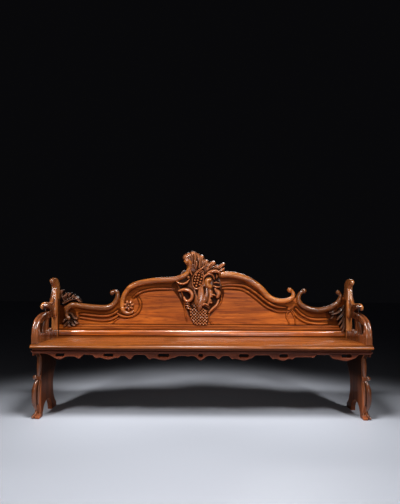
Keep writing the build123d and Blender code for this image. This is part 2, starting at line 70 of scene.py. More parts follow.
def polished_wood(name, colours, grain_axis, gloss, figure=1.0, polish=0.06):
    """Waxed old wood: streaks along the grain, dark pores, dirt and painted shade in the hollows, and pale
    rubbed edges with painted highlights.
    """
    pale, body, deep = [(*colour, 1) for colour in colours]
    finish = bpy.data.materials.new(name)
    finish.use_nodes = True
    nodes = finish.node_tree.nodes
    link = finish.node_tree.links.new
    shader = nodes["Principled BSDF"]
    place = nodes.new("ShaderNodeTexCoord")

    def grain(across, along, detail, distortion):
        stretch = nodes.new("ShaderNodeMapping")
        scale = [across] * 3
        scale[grain_axis] = along
        stretch.inputs["Scale"].default_value = scale
        link(place.outputs["Object"], stretch.inputs["Vector"])
        noise = nodes.new("ShaderNodeTexNoise")
        noise.inputs["Scale"].default_value = 1
        noise.inputs["Detail"].default_value = detail
        noise.inputs["Distortion"].default_value = distortion
        link(stretch.outputs["Vector"], noise.inputs["Vector"])
        return noise.outputs["Fac"]

    def span(value, low, high, to_low, to_high):
        ramp = nodes.new("ShaderNodeMapRange")
        for label, limit in (("From Min", low), ("From Max", high), ("To Min", to_low), ("To Max", to_high)):
            ramp.inputs[label].default_value = limit
        link(value, ramp.inputs["Value"])
        return ramp.outputs["Result"]

    def mixed(amount, under, over):
        blend = nodes.new("ShaderNodeMix")
        blend.data_type = "RGBA"
        link(amount, blend.inputs[0])
        for socket, value in ((blend.inputs[6], under), (blend.inputs[7], over)):
            if isinstance(value, tuple):
                socket.default_value = value
            else:
                link(value, socket)
        return blend.outputs[2]

    streaks = grain(26 * figure, 1.3 * figure, 6, 0.6)
    bands = grain(9 * figure, 0.5 * figure, 3, 1.2)
    pores = grain(420, 14, 2, 0)
    clouds = grain(5, 2.2, 3, 0)
    flecks = grain(85, 15, 3, 0.3)
    wear_and_painted_light = nodes.new("ShaderNodeAttribute")
    wear_and_painted_light.attribute_name = "wear_and_painted_light"
    worn_and_lit = wear_and_painted_light.outputs["Fac"]

    # The wear attribute paints colour: paler for real rubbing and painted highlights, darker for real dirt
    # and painted shade.
    pale_gain = (1.55, 1.5, 1.4)
    rubbed_and_lit = tuple(min(gain * c + 0.02, 1) for gain, c in zip(pale_gain, pale)) + (1,)
    dark_share = 0.22
    darkening = tuple(dark_share * c for c in deep[:3]) + (1,)
    colour = deep
    for layer, low, high, most, tint in (
        (streaks, 0.32, 0.68, 1, body),
        (bands, 0.40, 0.72, 0.85, pale),
        (clouds, 0.45, 0.75, 0.45, deep),
        (flecks, 0.52, 0.70, 0.5, deep),
        (pores, 0.58, 0.74, 0.55, deep),
        (worn_and_lit, 0.15, 1.0, 0.6, rubbed_and_lit),
        (worn_and_lit, -0.08, -0.9, 0.93, darkening),
    ):
        colour = mixed(span(layer, low, high, 0, most), colour, tint)
    link(colour, shader.inputs["Base Color"])
    link(span(streaks, 0.3, 0.7, gloss + 0.10, gloss), shader.inputs["Roughness"])
    link(span(worn_and_lit, -0.7, -0.1, 0.04, max(0.6 - gloss, 0.1)), shader.inputs["Specular IOR Level"])
    link(span(worn_and_lit, -0.5, -0.05, 0, polish), shader.inputs["Coat Weight"])
    shader.inputs["Coat Roughness"].default_value = 0.13
    bump = nodes.new("ShaderNodeBump")
    bump.inputs["Strength"].default_value = 0.25
    bump.inputs["Distance"].default_value = 0.0008
    link(span(pores, 0.35, 0.75, 1, 0), bump.inputs["Height"])
    link(bump.outputs["Normal"], shader.inputs["Normal"])
    return finish


def whole(node_name):
    """A merged copy of a plain piece, to carve on."""
    least_gap = 0.00002
    form = bmesh.new()
    form.from_mesh(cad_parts[node_name].data)
    bmesh.ops.remove_doubles(form, verts=form.verts, dist=least_gap)
    mesh = bpy.data.meshes.new(node_name + "_block")
    form.to_mesh(mesh)
    form.free()
    return mesh


def placed(name, data):
    """A new object that stands in the scene."""
    thing = bpy.data.objects.new(name, data)
    bpy.context.scene.collection.objects.link(thing)
    return thing


def worked(block):
    """The mesh that a rough block becomes; the block itself is cleared away."""
    mesh = bpy.data.meshes.new_from_object(block.evaluated_get(bpy.context.evaluated_depsgraph_get()))
    bpy.data.objects.remove(block)
    return mesh


def fused(forms, voxel, smoothing):
    """Overlapping rough forms as one carved skin, rubbed smooth."""
    joined = bmesh.new()
    for form in forms:
        joined.from_mesh(form)
    rough = bpy.data.meshes.new("rough")
    joined.to_mesh(rough)
    joined.free()
    block = placed("rough", rough)
    skin = block.modifiers.new("skin", "REMESH")
    skin.mode = "VOXEL"
    skin.voxel_size = voxel * MM
    skin.use_smooth_shade = True
    rub = block.modifiers.new("rub", "SMOOTH")
    rub.factor = 0.5
    rub.iterations = smoothing
    return worked(block)


def places_of(mesh):
    """The points of a mesh, one to a row."""
    places = np.empty(len(mesh.vertices) * 3)
    mesh.vertices.foreach_get("co", places)
    return places.reshape(-1, 3)


def rise(value, start, run):
    """Nothing up to a start, then evenly more, and all of it after a run."""
    return np.clip((value - start) / run, 0, 1)


def set_wear_and_light(mesh, values):
    """Note how pale or dark each point of a piece is painted: rubbing and dirt, and painted highlights and
    shade.
    """
    wear_and_painted_light = mesh.attributes.new("wear_and_painted_light", "FLOAT", "POINT")
    wear_and_painted_light.data.foreach_set("value", values)


def paint_wear_and_light(mesh, depth, rounds=10):
    """Note at each point how far it stands proud or lies hollow, as a share of a depth in millimetres; proud
    points are painted pale and hollow ones dark, as wear and dirt with painted highlights and shade.
    """
    count = len(mesh.vertices)
    place = places_of(mesh)
    outward = np.empty(count * 3)
    mesh.vertices.foreach_get("normal", outward)
    ends = np.empty(len(mesh.edges) * 2, np.int32)
    mesh.edges.foreach_get("vertices", ends)
    near, far = ends.reshape(-1, 2).T
    neighbours = np.maximum(np.bincount(ends, minlength=count), 1)
    level = place
    for _ in range(rounds):
        sums = [
            np.bincount(near, level[far, axis], count) + np.bincount(far, level[near, axis], count)
            for axis in range(3)
        ]
        level = np.stack(sums, axis=1) / neighbours[:, None]
    proud = ((place - level) * outward.reshape(-1, 3)).sum(1) / (depth * MM)
    set_wear_and_light(mesh, np.clip(proud, -1, 1))


def darken(mesh, amount):
    """Paint a piece darker, by an amount that depends on the place in millimetres; it serves for painted
    shade and for a darker tone.
    """
    wear_and_painted_light = mesh.attributes["wear_and_painted_light"].data
    value = np.empty(len(wear_and_painted_light), np.float32)
    wear_and_painted_light.foreach_get("value", value)
    wear_and_painted_light.foreach_set("value", np.clip(value - amount(*(places_of(mesh).T / MM)), -1, 1))


def fit(mesh, name, finish, slot, *nodes):
    """Set a finished piece on the bench in place of its plain ones."""
    mesh.name = name
    mesh.materials.clear()
    mesh.materials.append(finish)
    piece = placed(name, mesh)
    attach(piece, "root")
    if nodes:
        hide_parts(*nodes)


support_finish = polished_wood("dark_waxed_plank", support_colours, upright, gloss=0.38)
for side_name, side in sides:
    plank = fused([whole(f"{side_name}_support")], voxel=2.5, smoothing=4)
    paint_wear_and_light(plank, depth=3)
    # painted shade: each plank grows darker upwards, into the shadow under the seat
    darken(plank, lambda x, y, z: rise(z, shade_from, shade_run))
    fit(plank, f"{side_name}_support_plank", support_finish, "support_wood", f"{side_name}_support")

# Leg scrolls
# The front of each support is carved as a scroll: a knob at the knee, rounded shin ridges and a curled toe.
# It is cut from a second block of oak glued on the outer face of the plank; the dark between the ridges and
# the pale on them are dirt and wear together with painted shade and painted highlights.
leg_colours = ((0.33, 0.100, 0.033), (0.155, 0.043, 0.014), (0.046, 0.012, 0.005))
shin_ridges = (
    ((994, -142, 240, 7), (1000, -160, 214, 12), (1006, -172, 180, 16), (1008, -175, 140, 17),
     (1008, -172, 105, 17), (1006, -165, 74, 13), (1001, -158, 48, 9), (1002, -164, 28, 10),
     (1011, -176, 12, 11)),
    ((984, -140, 240, 7), (985, -154, 214, 9), (987, -164, 180, 11), (988, -166, 140, 12),
     (988, -164, 105, 12), (986, -158, 74, 10), (982, -154, 46, 8), (981, -160, 20, 9)),
    ((1006, -126, 225, 9), (1009, -132, 150, 14), (1009, -134, 95, 12), (1003, -136, 46, 8),
     (1003, -140, 14, 9)),
)
leg_lumps = (
    (1010, -155, 245, 15, (1, 1, 1)), (1009, -136, 240, 13, (1, 1.3, 1)), (1015, -178, 10, 9, (1.1, 1, 1)),
    (985, -166, 9, 11, (1.3, 1.2, 0.8)), (1000, -130, 8, 12, (1, 1.5, 0.6)),
)
shank_ridge = (
    (988, -144, 410, 13), (988, -146, 350, 14), (989, -148, 300, 14), (990, -150, 262, 11),
    (990, -149, 240, 8),
)
leg_dark_shift = 0.6


def smooth_line(points, per_span=8):
    """More points between a few, on a curve that passes through them."""
    p = np.array(points, float)
    p = np.vstack([2 * p[0] - p[1], p, 2 * p[-1] - p[-2]])
    t = np.linspace(0, 1, per_span, endpoint=False)[:, None]
    spans = [
        0.5 * (2 * b + (c - a) * t + (2 * a - 5 * b + 4 * c - d) * t**2 + (3 * b - a - 3 * c + d) * t**3)
        for a, b, c, d in zip(p, p[1:], p[2:], p[3:])
    ]
    return np.vstack([*spans, p[-2:-1]])


moulding_tree = bpy.data.node_groups.new("moulding along a line", "GeometryNodeTree")
moulding_sockets = {
    name: moulding_tree.interface.new_socket(name, in_out=way, socket_type=kind)
    for name, way, kind in (
        ("Line", "INPUT", "NodeSocketGeometry"),
        ("Sides", "INPUT", "NodeSocketInt"),
        ("Girth", "INPUT", "NodeSocketFloat"),
        ("Finish", "INPUT", "NodeSocketMaterial"),
        ("Moulding", "OUTPUT", "NodeSocketGeometry"),
    )
}


def grow_moulding_tree():
    """Nodes that sweep a round section along a line, as thick at each point as its swell says."""
    nodes = moulding_tree.nodes
    given = nodes.new("NodeGroupInput")
    line = nodes.new("GeometryNodeMeshToCurve")
    section = nodes.new("GeometryNodeCurvePrimitiveCircle")
    swell = nodes.new("GeometryNodeInputNamedAttribute")
    swell.data_type = "FLOAT"
    swell.inputs["Name"].default_value = "swell"
    sweep = nodes.new("GeometryNodeCurveToMesh")
    sweep.inputs["Fill Caps"].default_value = True
    real = nodes.new("GeometryNodeRealizeInstances")
    coat = nodes.new("GeometryNodeSetMaterial")
    made = nodes.new("NodeGroupOutput")
    for giver, output, taker, entry in (
        (given, "Line", line, "Mesh"),
        (line, "Curve", sweep, "Curve"),
        (given, "Sides", section, "Resolution"),
        (given, "Girth", section, "Radius"),
        (section, "Curve", sweep, "Profile Curve"),
        (swell, "Attribute", sweep, "Scale"),
        (sweep, "Mesh", real, "Geometry"),
        (real, "Geometry", coat, "Geometry"),
        (given, "Finish", coat, "Material"),
        (coat, "Geometry", made, "Moulding"),
    ):
        moulding_tree.links.new(giver.outputs[output], taker.inputs[entry])


grow_moulding_tree()


def moulding(points, radii, finish, section_sides=16):
    """A round moulding along points in millimetres, with a radius at each."""
    line = bpy.data.meshes.new("line")
    steps = [(i, i + 1) for i in range(len(points) - 1)]
    line.from_pydata([[c * MM for c in point] for point in points], steps, [])
    swell = line.attributes.new("swell", "FLOAT", "POINT")
    swell.data.foreach_set("value", np.broadcast_to(np.asarray(radii, np.float32), len(points)).copy())
    carrier = placed("line", line)
    sweep = carrier.modifiers.new("sweep", "NODES")
    sweep.node_group = moulding_tree
    sweep[moulding_sockets["Sides"].identifier] = section_sides
    sweep[moulding_sockets["Girth"].identifier] = MM
    sweep[moulding_sockets["Finish"].identifier] = finish
    return worked(carrier)


def limb(points, side, finish):
    """A rounded ridge through (x, y, z, radius) points, on one side of the bench."""
    line = smooth_line(points)
    return moulding(line[:, :3] * (side, 1, 1), line[:, 3], finish)


def knob(x, y, z, radius, stretch=(1, 1, 1)):
    """A rounded lump of a rough form."""
    form = bmesh.new()
    bmesh.ops.create_icosphere(form, subdivisions=4, radius=radius * MM)
    for vertex in form.verts:
        vertex.co = [c * s + p * MM for c, s, p in zip(vertex.co, stretch, (x, y, z))]
    mesh = bpy.data.meshes.new("knob")
    form.to_mesh(mesh)
    form.free()
    return mesh


leg_finish = polished_wood("carved_leg_wood", leg_colours, upright, gloss=0.22, polish=1.0)
for side_name, side in sides:
    forms = [limb(points, side, leg_finish) for points in (*shin_ridges, shank_ridge)]
    for x, y, z, radius, stretch in leg_lumps:
        forms.append(knob(side * x, y, z, radius, stretch))
    carving = fused(forms, voxel=1.6, smoothing=3)
    # ridges painted pale and hollows dark, partly as painted highlights and shade; then the whole carving is
    # made darker
    paint_wear_and_light(carving, depth=0.8)
    darken(carving, lambda x, y, z: leg_dark_shift)
    fit(carving, f"{side_name}_leg_carving", leg_finish, "support_wood", f"{side_name}_leg_scroll")

# Front apron
# A thin board under the front of the seat, sawn and carved into lobes, cusps and tips, with seven windows.
# It is redder than the seat, and its lower edge is rounded by hand.
apron_colours = ((0.28, 0.062, 0.021), (0.14, 0.028, 0.010), (0.045, 0.009, 0.004))
apron_edge = (
    (-1013, 396), (-938, 396), (-848, 360), (-804, 379), (-760, 379), (-740, 366), (-724, 367), (-710, 391),
    (-650, 388), (-634, 366), (-618, 374), (-556, 360), (-510, 373), (-499, 366), (-486, 385), (-460, 384),
    (-428, 360), (-400, 391), (-340, 391), (-312, 361), (-294, 371), (-227, 358), (-158, 374), (-143, 385),
    (-95, 386), (-83, 378), (-72, 386), (-50, 385), (-6, 358), (38, 386), (76, 386), (101, 364), (126, 386),
    (165, 386), (179, 362), (194, 371), (251, 358), (304, 373), (318, 391), (406, 391), (421, 365),
    (436, 372), (486, 358), (528, 372), (541, 363), (557, 380), (655, 380), (668, 371), (682, 394),
    (722, 396), (730, 390), (738, 396), (762, 395), (780, 371), (864, 358), (918, 373), (934, 396),
    (1013, 396),
)
apron_windows = ((-845, 46), (-556, 52), (-227, 62), (-6, 22), (251, 52), (488, 46), (864, 54))
window_middle = 390
window_radius = 7.5
apron_half_length = 1013
apron_low, apron_high = 356, 427
apron_thickness = 16
apron_backing = 0.5
edge_round = 4
edge_soften = 5
edge_roll = 1.5
roll_at, roll_width = 5, 4
hollow_at, hollow_width = 15, 5
SUNK = -6.0
FAR_BELOW = -99.0


class Carving:
    """A carved face: heights in millimetres over a grid of places, cut away where they are below nothing."""

    ridge_reach = 1.6
    least_half_width = 0.3
    vein_width = 0.28
    vein_depth = 0.3
    crease = math.radians(50)

    def __init__(self, left, right, low, high, step):
        self.x = np.arange(left, right + step / 2, step)
        self.z = np.arange(low, high + step / 2, step)
        self.height = np.full((len(self.z), len(self.x)), SUNK)
        self.shade = np.zeros_like(self.height)

    def mark(self, points):
        """Heights of a rounded ridge along a line of (x, z, half width, height) points."""
        mark = np.full_like(self.height, FAR_BELOW)
        line = smooth_line(points, 6) if len(points) > 2 else np.array(points, float)
        for (x0, z0, w0, h0), (x1, z1, w1, h1) in zip(line, line[1:]):
            reach = self.ridge_reach * max(w0, w1)
            columns = slice(*np.searchsorted(self.x, (min(x0, x1) - reach, max(x0, x1) + reach)))
            rows = slice(*np.searchsorted(self.z, (min(z0, z1) - reach, max(z0, z1) + reach)))
            across = self.x[columns][None, :] - x0
            up = self.z[rows][:, None] - z0
            run, climb = x1 - x0, z1 - z0
            share = np.clip((across * run + up * climb) / max(run * run + climb * climb, 1e-9), 0, 1)
            half_width = np.maximum(w0 + share * (w1 - w0), self.least_half_width)
            away = np.hypot(across - share * run, up - share * climb) / half_width
            lift = (h0 + share * (h1 - h0)) * (1 - away**2)
            mark[rows, columns] = np.maximum(mark[rows, columns], lift)
        return mark

    def ridge(self, points, over=0.0):
        """Raise a rounded ridge that stands on a level."""
        self.height = np.maximum(self.height, over + self.mark(points))

    def groove(self, points):
        """Cut a rounded groove, where the last number of each point is its depth."""
        self.height -= np.maximum(self.mark(points), 0)

    def dome(self, x, z, half_width, half_height, turn, lift, over=0.0):
        """Raise a rounded boss."""
        across, up = self.x[None, :] - x, self.z[:, None] - z
        c, s = math.cos(math.radians(turn)), math.sin(math.radians(turn))
        away = ((across * c + up * s) / half_width) ** 2 + ((up * c - across * s) / half_height) ** 2
        self.height = np.maximum(self.height, over + lift * (1 - away))

    def leaf(self, points, over=0.0):
        """Raise a leaf finger with a vein along its middle."""
        self.ridge(points, over)
        self.groove([(x, z, self.vein_width * w, self.vein_depth * h) for x, z, w, h in points[:-1]])

    def hollows(self, reach, depth):
        """Note the high and the low places against their surroundings, to paint them pale and dark: rubbing
        and dirt together with painted highlights and shade.
        """
        level = np.maximum(self.height, 0)
        soft = level
        spread = np.ones(2 * reach + 1) / (2 * reach + 1)
        for _ in range(2):
            soft = np.apply_along_axis(np.convolve, 0, soft, spread, "same")
            soft = np.apply_along_axis(np.convolve, 1, soft, spread, "same")
        self.shade += np.clip((level - soft) / depth, -1, 1)

    def skin(self, front, rear):
        """The carved face as a closed mesh that stands on a plane, and reaches back to another."""
        rows, columns = self.height.shape
        across, up = np.meshgrid(self.x, self.z)
        places = np.stack([across, front - self.height, up], -1).reshape(-1, 3) * MM
        number = np.arange(rows * columns).reshape(rows, columns)
        corners = [number[:-1, :-1], number[:-1, 1:], number[1:, 1:], number[1:, :-1]]
        used = np.max([self.height.ravel()[c] for c in corners], axis=0) > 0
        faces = np.stack([c[used] for c in corners], -1)
        mesh = bpy.data.meshes.new("carved face")
        mesh.from_pydata(places.tolist(), [], faces.tolist())
        set_wear_and_light(mesh, np.clip(self.shade, -1, 1).ravel())
        form = bmesh.new()
        form.from_mesh(mesh)
        bmesh.ops.delete(form, geom=[v for v in form.verts if not v.link_faces], context="VERTS")
        bmesh.ops.bisect_plane(
            form, geom=form.verts[:] + form.edges[:] + form.faces[:], dist=1e-7,
            plane_co=(0, front * MM, 0), plane_no=(0, 1, 0), clear_outer=True,
        )
        rim = [edge for edge in form.edges if edge.is_boundary]
        walls = bmesh.ops.extrude_edge_only(form, edges=rim)["geom"]
        rubbed_and_lit = form.verts.layers.float["wear_and_painted_light"]
        for vertex in (item for item in walls if isinstance(item, bmesh.types.BMVert)):
            vertex.co.y = rear * MM
            vertex[rubbed_and_lit] = 0
        rear_rim = [edge for edge in form.edges if edge.is_boundary]
        bmesh.ops.triangle_fill(form, edges=rear_rim, use_beauty=True)
        bmesh.ops.recalc_face_normals(form, faces=form.faces)
        form.to_mesh(mesh)
        form.free()
        mesh.shade_smooth()
        mesh.set_sharp_from_angle(angle=self.crease)
        return mesh


apron = Carving(-apron_half_length, apron_half_length, apron_low, apron_high, step=2)
across, up = apron.x[None, :], apron.z[:, None]
edge_x, edge_z = np.array(apron_edge, float).T
span = np.clip(np.searchsorted(edge_x, apron.x, "right") - 1, 0, len(edge_x) - 2)
share = np.clip((apron.x - edge_x[span]) / (edge_x[span + 1] - edge_x[span]), 0, 1)
lower_edge = edge_z[span] + (edge_z[span + 1] - edge_z[span]) * (3 * share**2 - 2 * share**3)
soften = np.ones(2 * edge_soften + 1) / (2 * edge_soften + 1)
lower_edge = np.convolve(np.pad(lower_edge, edge_soften, "edge"), soften, "valid")
to_edge = up - lower_edge[None, :]
to_end = apron_half_length - np.abs(across)
inside = np.minimum(to_edge, to_end + 1)
for middle, width in apron_windows:
    beyond = np.maximum(np.abs(across - middle) - (width / 2 - window_radius), 0)
    inside = np.minimum(inside, np.hypot(beyond, up - window_middle) - window_radius)
rounded = apron_thickness * (1 - np.exp(-np.maximum(inside, 0) / edge_round))
lip = np.exp(-(((inside - roll_at) / roll_width) ** 2))
hollow = np.exp(-(((inside - hollow_at) / hollow_width) ** 2))
apron.height = np.where(inside > 0, rounded + edge_roll * (lip - hollow), inside)
apron.hollows(reach=4, depth=9)
apron_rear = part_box("front_apron")[1].y / MM
apron_finish = polished_wood("red_apron_wood", apron_colours, lengthwise, gloss=0.46)
apron_skin = apron.skin(apron_rear - apron_backing, apron_rear)
fit(apron_skin, "front_apron_carving", apron_finish, "apron_wood", "front_apron")

# Apron bead, end aprons, rear rail and glue blocks
# Thin stock under the seat: a bead along the front apron and short boards at the ends, waxed as the apron is.
# The rail and blocks behind are bare sawn wood that nobody sees.
hidden_colours = ((0.26, 0.16, 0.085), (0.16, 0.095, 0.048), (0.07, 0.04, 0.02))


def dress(node_name, finish):
    """Give a plain piece its finish."""
    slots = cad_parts[node_name].data.materials
    slots.clear()
    slots.append(finish)


hidden_finish = polished_wood("bare_sawn_wood", hidden_colours, lengthwise, gloss=0.62)
for name in ("apron_bead", "left_end_apron", "right_end_apron"):
    dress(name, apron_finish)
for name in ("rear_rail", "glue_blocks"):
    dress(name, hidden_finish)

# Seat board
# One wide oak board with a rounded nose, polished bright by use, with the grain running its whole length.
# It lies on the supports, and every upright is tenoned into it.
seat_colours = ((0.53, 0.150, 0.026), (0.32, 0.081, 0.012), (0.106, 0.023, 0.004))
seat_crease = math.radians(35)
underside_shade_rise, underside_shade_strength = 9, 1.7
nose_band = 17
nose_run = 42
nose_drop = 8
nose_depth = 18
nose_cuts = (1, 0.75, 0.55)
nose_top_shade, edge_rise, edge_fade = 0.32, 4, 15
bright_middle = 250
nose_end_shade, end_fade = 0.3, 500
cross_cuts = range(-850, 851, 100)
seat_finish = polished_wood(
    "polished_seat_wood", seat_colours, lengthwise, gloss=0.24, figure=2.4, polish=0.25
)
seat = whole("seat_board")
seat_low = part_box("seat_board")[0].z / MM
seat_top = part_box("seat_board")[1].z / MM
board = bmesh.new()
board.from_mesh(seat)
seat_cuts = [((0, cad_low[1] + share * nose_run * MM, 0), (0, 1, 0)) for share in nose_cuts]
seat_cuts += [((x * MM, 0, 0), (1, 0, 0)) for x in cross_cuts]
for place, way in seat_cuts:
    bmesh.ops.bisect_plane(
        board, geom=board.verts[:] + board.edges[:] + board.faces[:], dist=1e-7, plane_co=place, plane_no=way,
    )
board.to_mesh(seat)
board.free()
seat_places = places_of(seat)
above = seat_places[:, 2] / MM - seat_low
behind_nose = (seat_places[:, 1] - cad_low[1]) / MM
worn_down = nose_drop / (seat_top - seat_low) * np.clip(1 - behind_nose / nose_run, 0, 1) ** 2
above = np.where(above > 0, above * (1 - worn_down), above)
seat_places[:, 2] = (seat_low + above) * MM
seat.vertices.foreach_set("co", seat_places.ravel())
# painted shade: the top of the nose and its ends away from the bright middle are painted darker, and the
# lowest millimetres of the board are painted as the shadow under the nose
at_edge = rise(above, nose_band, edge_rise) * rise(nose_run - behind_nose, 0, edge_fade)
past_middle = rise(np.abs(seat_places[:, 0]) / MM, bright_middle, end_fade)
painted_nose_shade = nose_top_shade * at_edge + nose_end_shade * past_middle * (behind_nose < nose_depth)
painted_underside_shade = np.clip(underside_shade_strength * (1 - above / underside_shade_rise), 0, 1)
set_wear_and_light(seat, -painted_nose_shade - painted_underside_shade)
seat.shade_smooth()
seat.set_sharp_from_angle(angle=seat_crease)
fit(seat, "seat_board_polished", seat_finish, "seat_wood", "seat_board")

# Back board, foot rail and stepped moulding
# The tall back is one board; its two fields stand a little proud, inside a sunk border along the crest that
# is painted dark, partly as dirt and partly as the shadow under the rolls.
# A rail with a rounded edge and two steps run along its foot, planed and fixed to the board.
back_colours = ((0.70, 0.175, 0.020), (0.44, 0.094, 0.009), (0.13, 0.024, 0.003))
left_outer_roll = ((-913, 579), 136, ((54, -148), (960, 11.5), (94, 92), (20, 150)))
left_inner_roll = ((-542, 643), 104, ((146, -90), (793, -14), (264, 26), (70, 92)))
right_inner_roll = ((128, 881), 6, ((345, -57), (142, 79), (32, 140)))
right_outer_roll = ((700, 773), 197, ((55, 128), (194, 73), (93, 37), (28, 80)))
bead_lines = {
    "left_outer_bead": [((-838, 607), (-790, 603), (-700, 594), (-640, 597), (-600, 612), (-575, 634))],
    "left_lower_bead": [((-838, 585), (-790, 576), (-700, 565), (-640, 567), (-597, 583), (-570, 604))],
    "left_panel_bead": [((-185, 782), (-288, 781), (-357, 776), (-405, 765), (-440, 748), (-470, 722))],
    "right_panel_bead": [
        ((137, 808), (192, 812), (247, 810), (295, 802), (363, 761), (432, 706), (501, 666), (576, 656)),
        ((137, 789), (192, 790), (261, 784), (309, 764), (377, 714), (446, 660), (521, 631), (590, 632)),
    ],
    "right_outer_bead": [((640, 655), (672, 620), (724, 588), (790, 576), (862, 580))],
    "right_lower_bead": [((618, 640), (655, 594), (715, 560), (790, 548), (862, 550))],
    "rosette_bead": [
        ((-585, 618), (-555, 598), (-510, 590), (-462, 602), (-430, 634), (-420, 680), (-436, 722)),
    ],
}
border_lines = {
    "left_panel_bead": [((-178, 825), (-144, 770), (-123, 708), (-117, 626), (-103, 564))],
    "right_panel_bead": [
        ((137, 756), (130, 694), (96, 653), (52, 616), (50, 571), (75, 540)),
        ((607, 639), (583, 621), (579, 594), (593, 567), (597, 550)),
        ((607, 636), (624, 615), (638, 580), (640, 548)),
    ],
    "left_lower_bead": [((-569, 582), (-597, 565), (-610, 544))],
}
ornament_shadows = (
    ((-180, 800, 30, 1.6), (-164, 773, 30, 1.6), (-140, 738, 28, 1.6), (-126, 698, 22, 1.4),
     (-118, 660, 14, 1)),
    ((136, 800, 12, 1), (140, 750, 14, 1), (126, 700, 12, 1)),
    ((888, 640, 44, 1.6), (908, 592, 54, 1.6), (916, 545, 48, 1.6)),
    ((-905, 604, 46, 1.6), (-898, 570, 52, 1.6), (-894, 545, 44, 1.6)),
    ((-962, 660, 24, 0.8), (-956, 560, 26, 0.8)),
)
bead_gutter, bead_shade = 17, 0.7
border_gutter, border_line_shade = 10, 0.4
border_width, border_fade, border_dirt_and_shadow = 58, 14, 0.65
roll_reach = 110
field_foot, field_top = 6, 900
field_edge, field_slope, field_lift = 72, 5, 3
field_seat = 0.5
crest_gap, crest_slope = 4, 0.5
foot_shadow_run = 10
carving_backing = 2


def arc_line(start, heading, arcs, step=6):
    """Points along a chain of tangent arcs, each a radius and a turn in degrees."""
    points = [start]
    for radius, turn in arcs:
        (x, z), first = points[-1], math.radians(heading)
        signed = math.copysign(radius, turn)
        count = max(int(radius * abs(math.radians(turn)) / step), 4)
        for share in np.linspace(0, 1, count + 1)[1:]:
            now = first + math.radians(turn) * share
            along = signed * (math.sin(now) - math.sin(first))
            down = signed * (math.cos(now) - math.cos(first))
            points.append((x + along, z - down))
        heading += turn
    return np.array(points)


def main_run(roll, first, last):
    """The part of a roll that follows the board's top edge."""
    start, heading, arcs = roll
    before = arc_line(start, heading, arcs[:first])
    turned = heading + sum(turn for _, turn in arcs[:first])
    return arc_line(tuple(before[-1]), turned, arcs[first:last])


crest_runs = [
    main_run(left_outer_roll, 1, 3), main_run(left_inner_roll, 0, 3),
    main_run(right_inner_roll, 0, 2), main_run(right_outer_roll, 1, 3),
]
back_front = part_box("back_board")[0].y / MM
board_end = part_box("back_board")[1].x / MM
step_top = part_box("back_step_moulding")[1].z / MM
field = Carving(-board_end, board_end, step_top - field_foot, field_top, step=4)
near_roll = np.full_like(field.height, FAR_BELOW)
crest = np.full(len(field.x), -1.0)
for run in crest_runs:
    near_roll = np.maximum(near_roll, field.mark([(x, z, roll_reach, 1) for x, z in run[::3]]))
    order = np.argsort(run[:, 0])
    on_run = np.interp(field.x, run[order, 0], run[order, 1], left=-1, right=-1)
    crest = np.maximum(crest, on_run)
known = crest > 0
crest = np.interp(field.x, field.x[known], crest[known])
from_roll = roll_reach * np.sqrt(np.maximum(1 - near_roll, 0))
raised = 1 + field_lift * rise(from_roll, field_edge, field_slope)
field.height = np.minimum(raised, (crest[None, :] - crest_gap - field.z[:, None]) * crest_slope)
past_border = np.maximum(from_roll - border_width + border_fade, 0) / border_fade
# dark border along the rolls: partly dirt, partly painted shadow under them
field.shade = -border_dirt_and_shadow * np.clip(1 - past_border, 0, 1)
# painted shade in gutters beside the beads and the slim borders
for group, gutter, darkening in (
    (bead_lines, bead_gutter, bead_shade), (border_lines, border_gutter, border_line_shade),
):
    for points in (points for lines in group.values() for points in lines):
        field.shade -= darkening * np.clip(2 * field.mark([(x, z, gutter, 1) for x, z in points]), 0, 1)
for points in ornament_shadows:
    field.shade -= np.clip(2 * field.mark(points), 0, 1)
# painted shadow where the fields meet the stepped moulding
field.shade -= np.clip(1 - (field.z[:, None] - step_top) / foot_shadow_run, 0, 1)
back_finish = polished_wood(
    "polished_back_wood", back_colours, lengthwise, gloss=0.40, figure=3.0, polish=0.08
)
field_skin = field.skin(back_front + field_seat, back_front + carving_backing)
fit(field_skin, "back_field", back_finish, "back_wood")
dress("back_board", back_finish)
rail_finish = polished_wood(
    "polished_rail_wood", back_colours, lengthwise, gloss=0.24, figure=3.0, polish=1.0
)
# the last number of each point paints colour: dark as the shadow in the crevices against the seat and the
# board, pale as a painted highlight on the rounded edge
rail_profile = (
    (0, 0, -1), (16, 0, -1), (16, 7, -0.9), (16, 11, -0.1), (16, 16, 0), (15.8, 23, -0.1), (15, 29, 0.1),
    (13.2, 34.5, 0.4), (10.4, 39, 0.5), (7, 42.4, 0.3), (3.4, 44.4, -0.3), (0, 45, -0.9),
)
step_profile = (
    (0, 45, -0.9), (10, 45, -0.9), (10, 49, -0.5), (10, 60, -0.35), (9, 63, 0), (5.2, 63.2, -0.9),
    (5, 67, -0.5), (5, 76, -0.35), (3, 80, -0.3), (0, 81, -1),
)
moulding_stations = 41


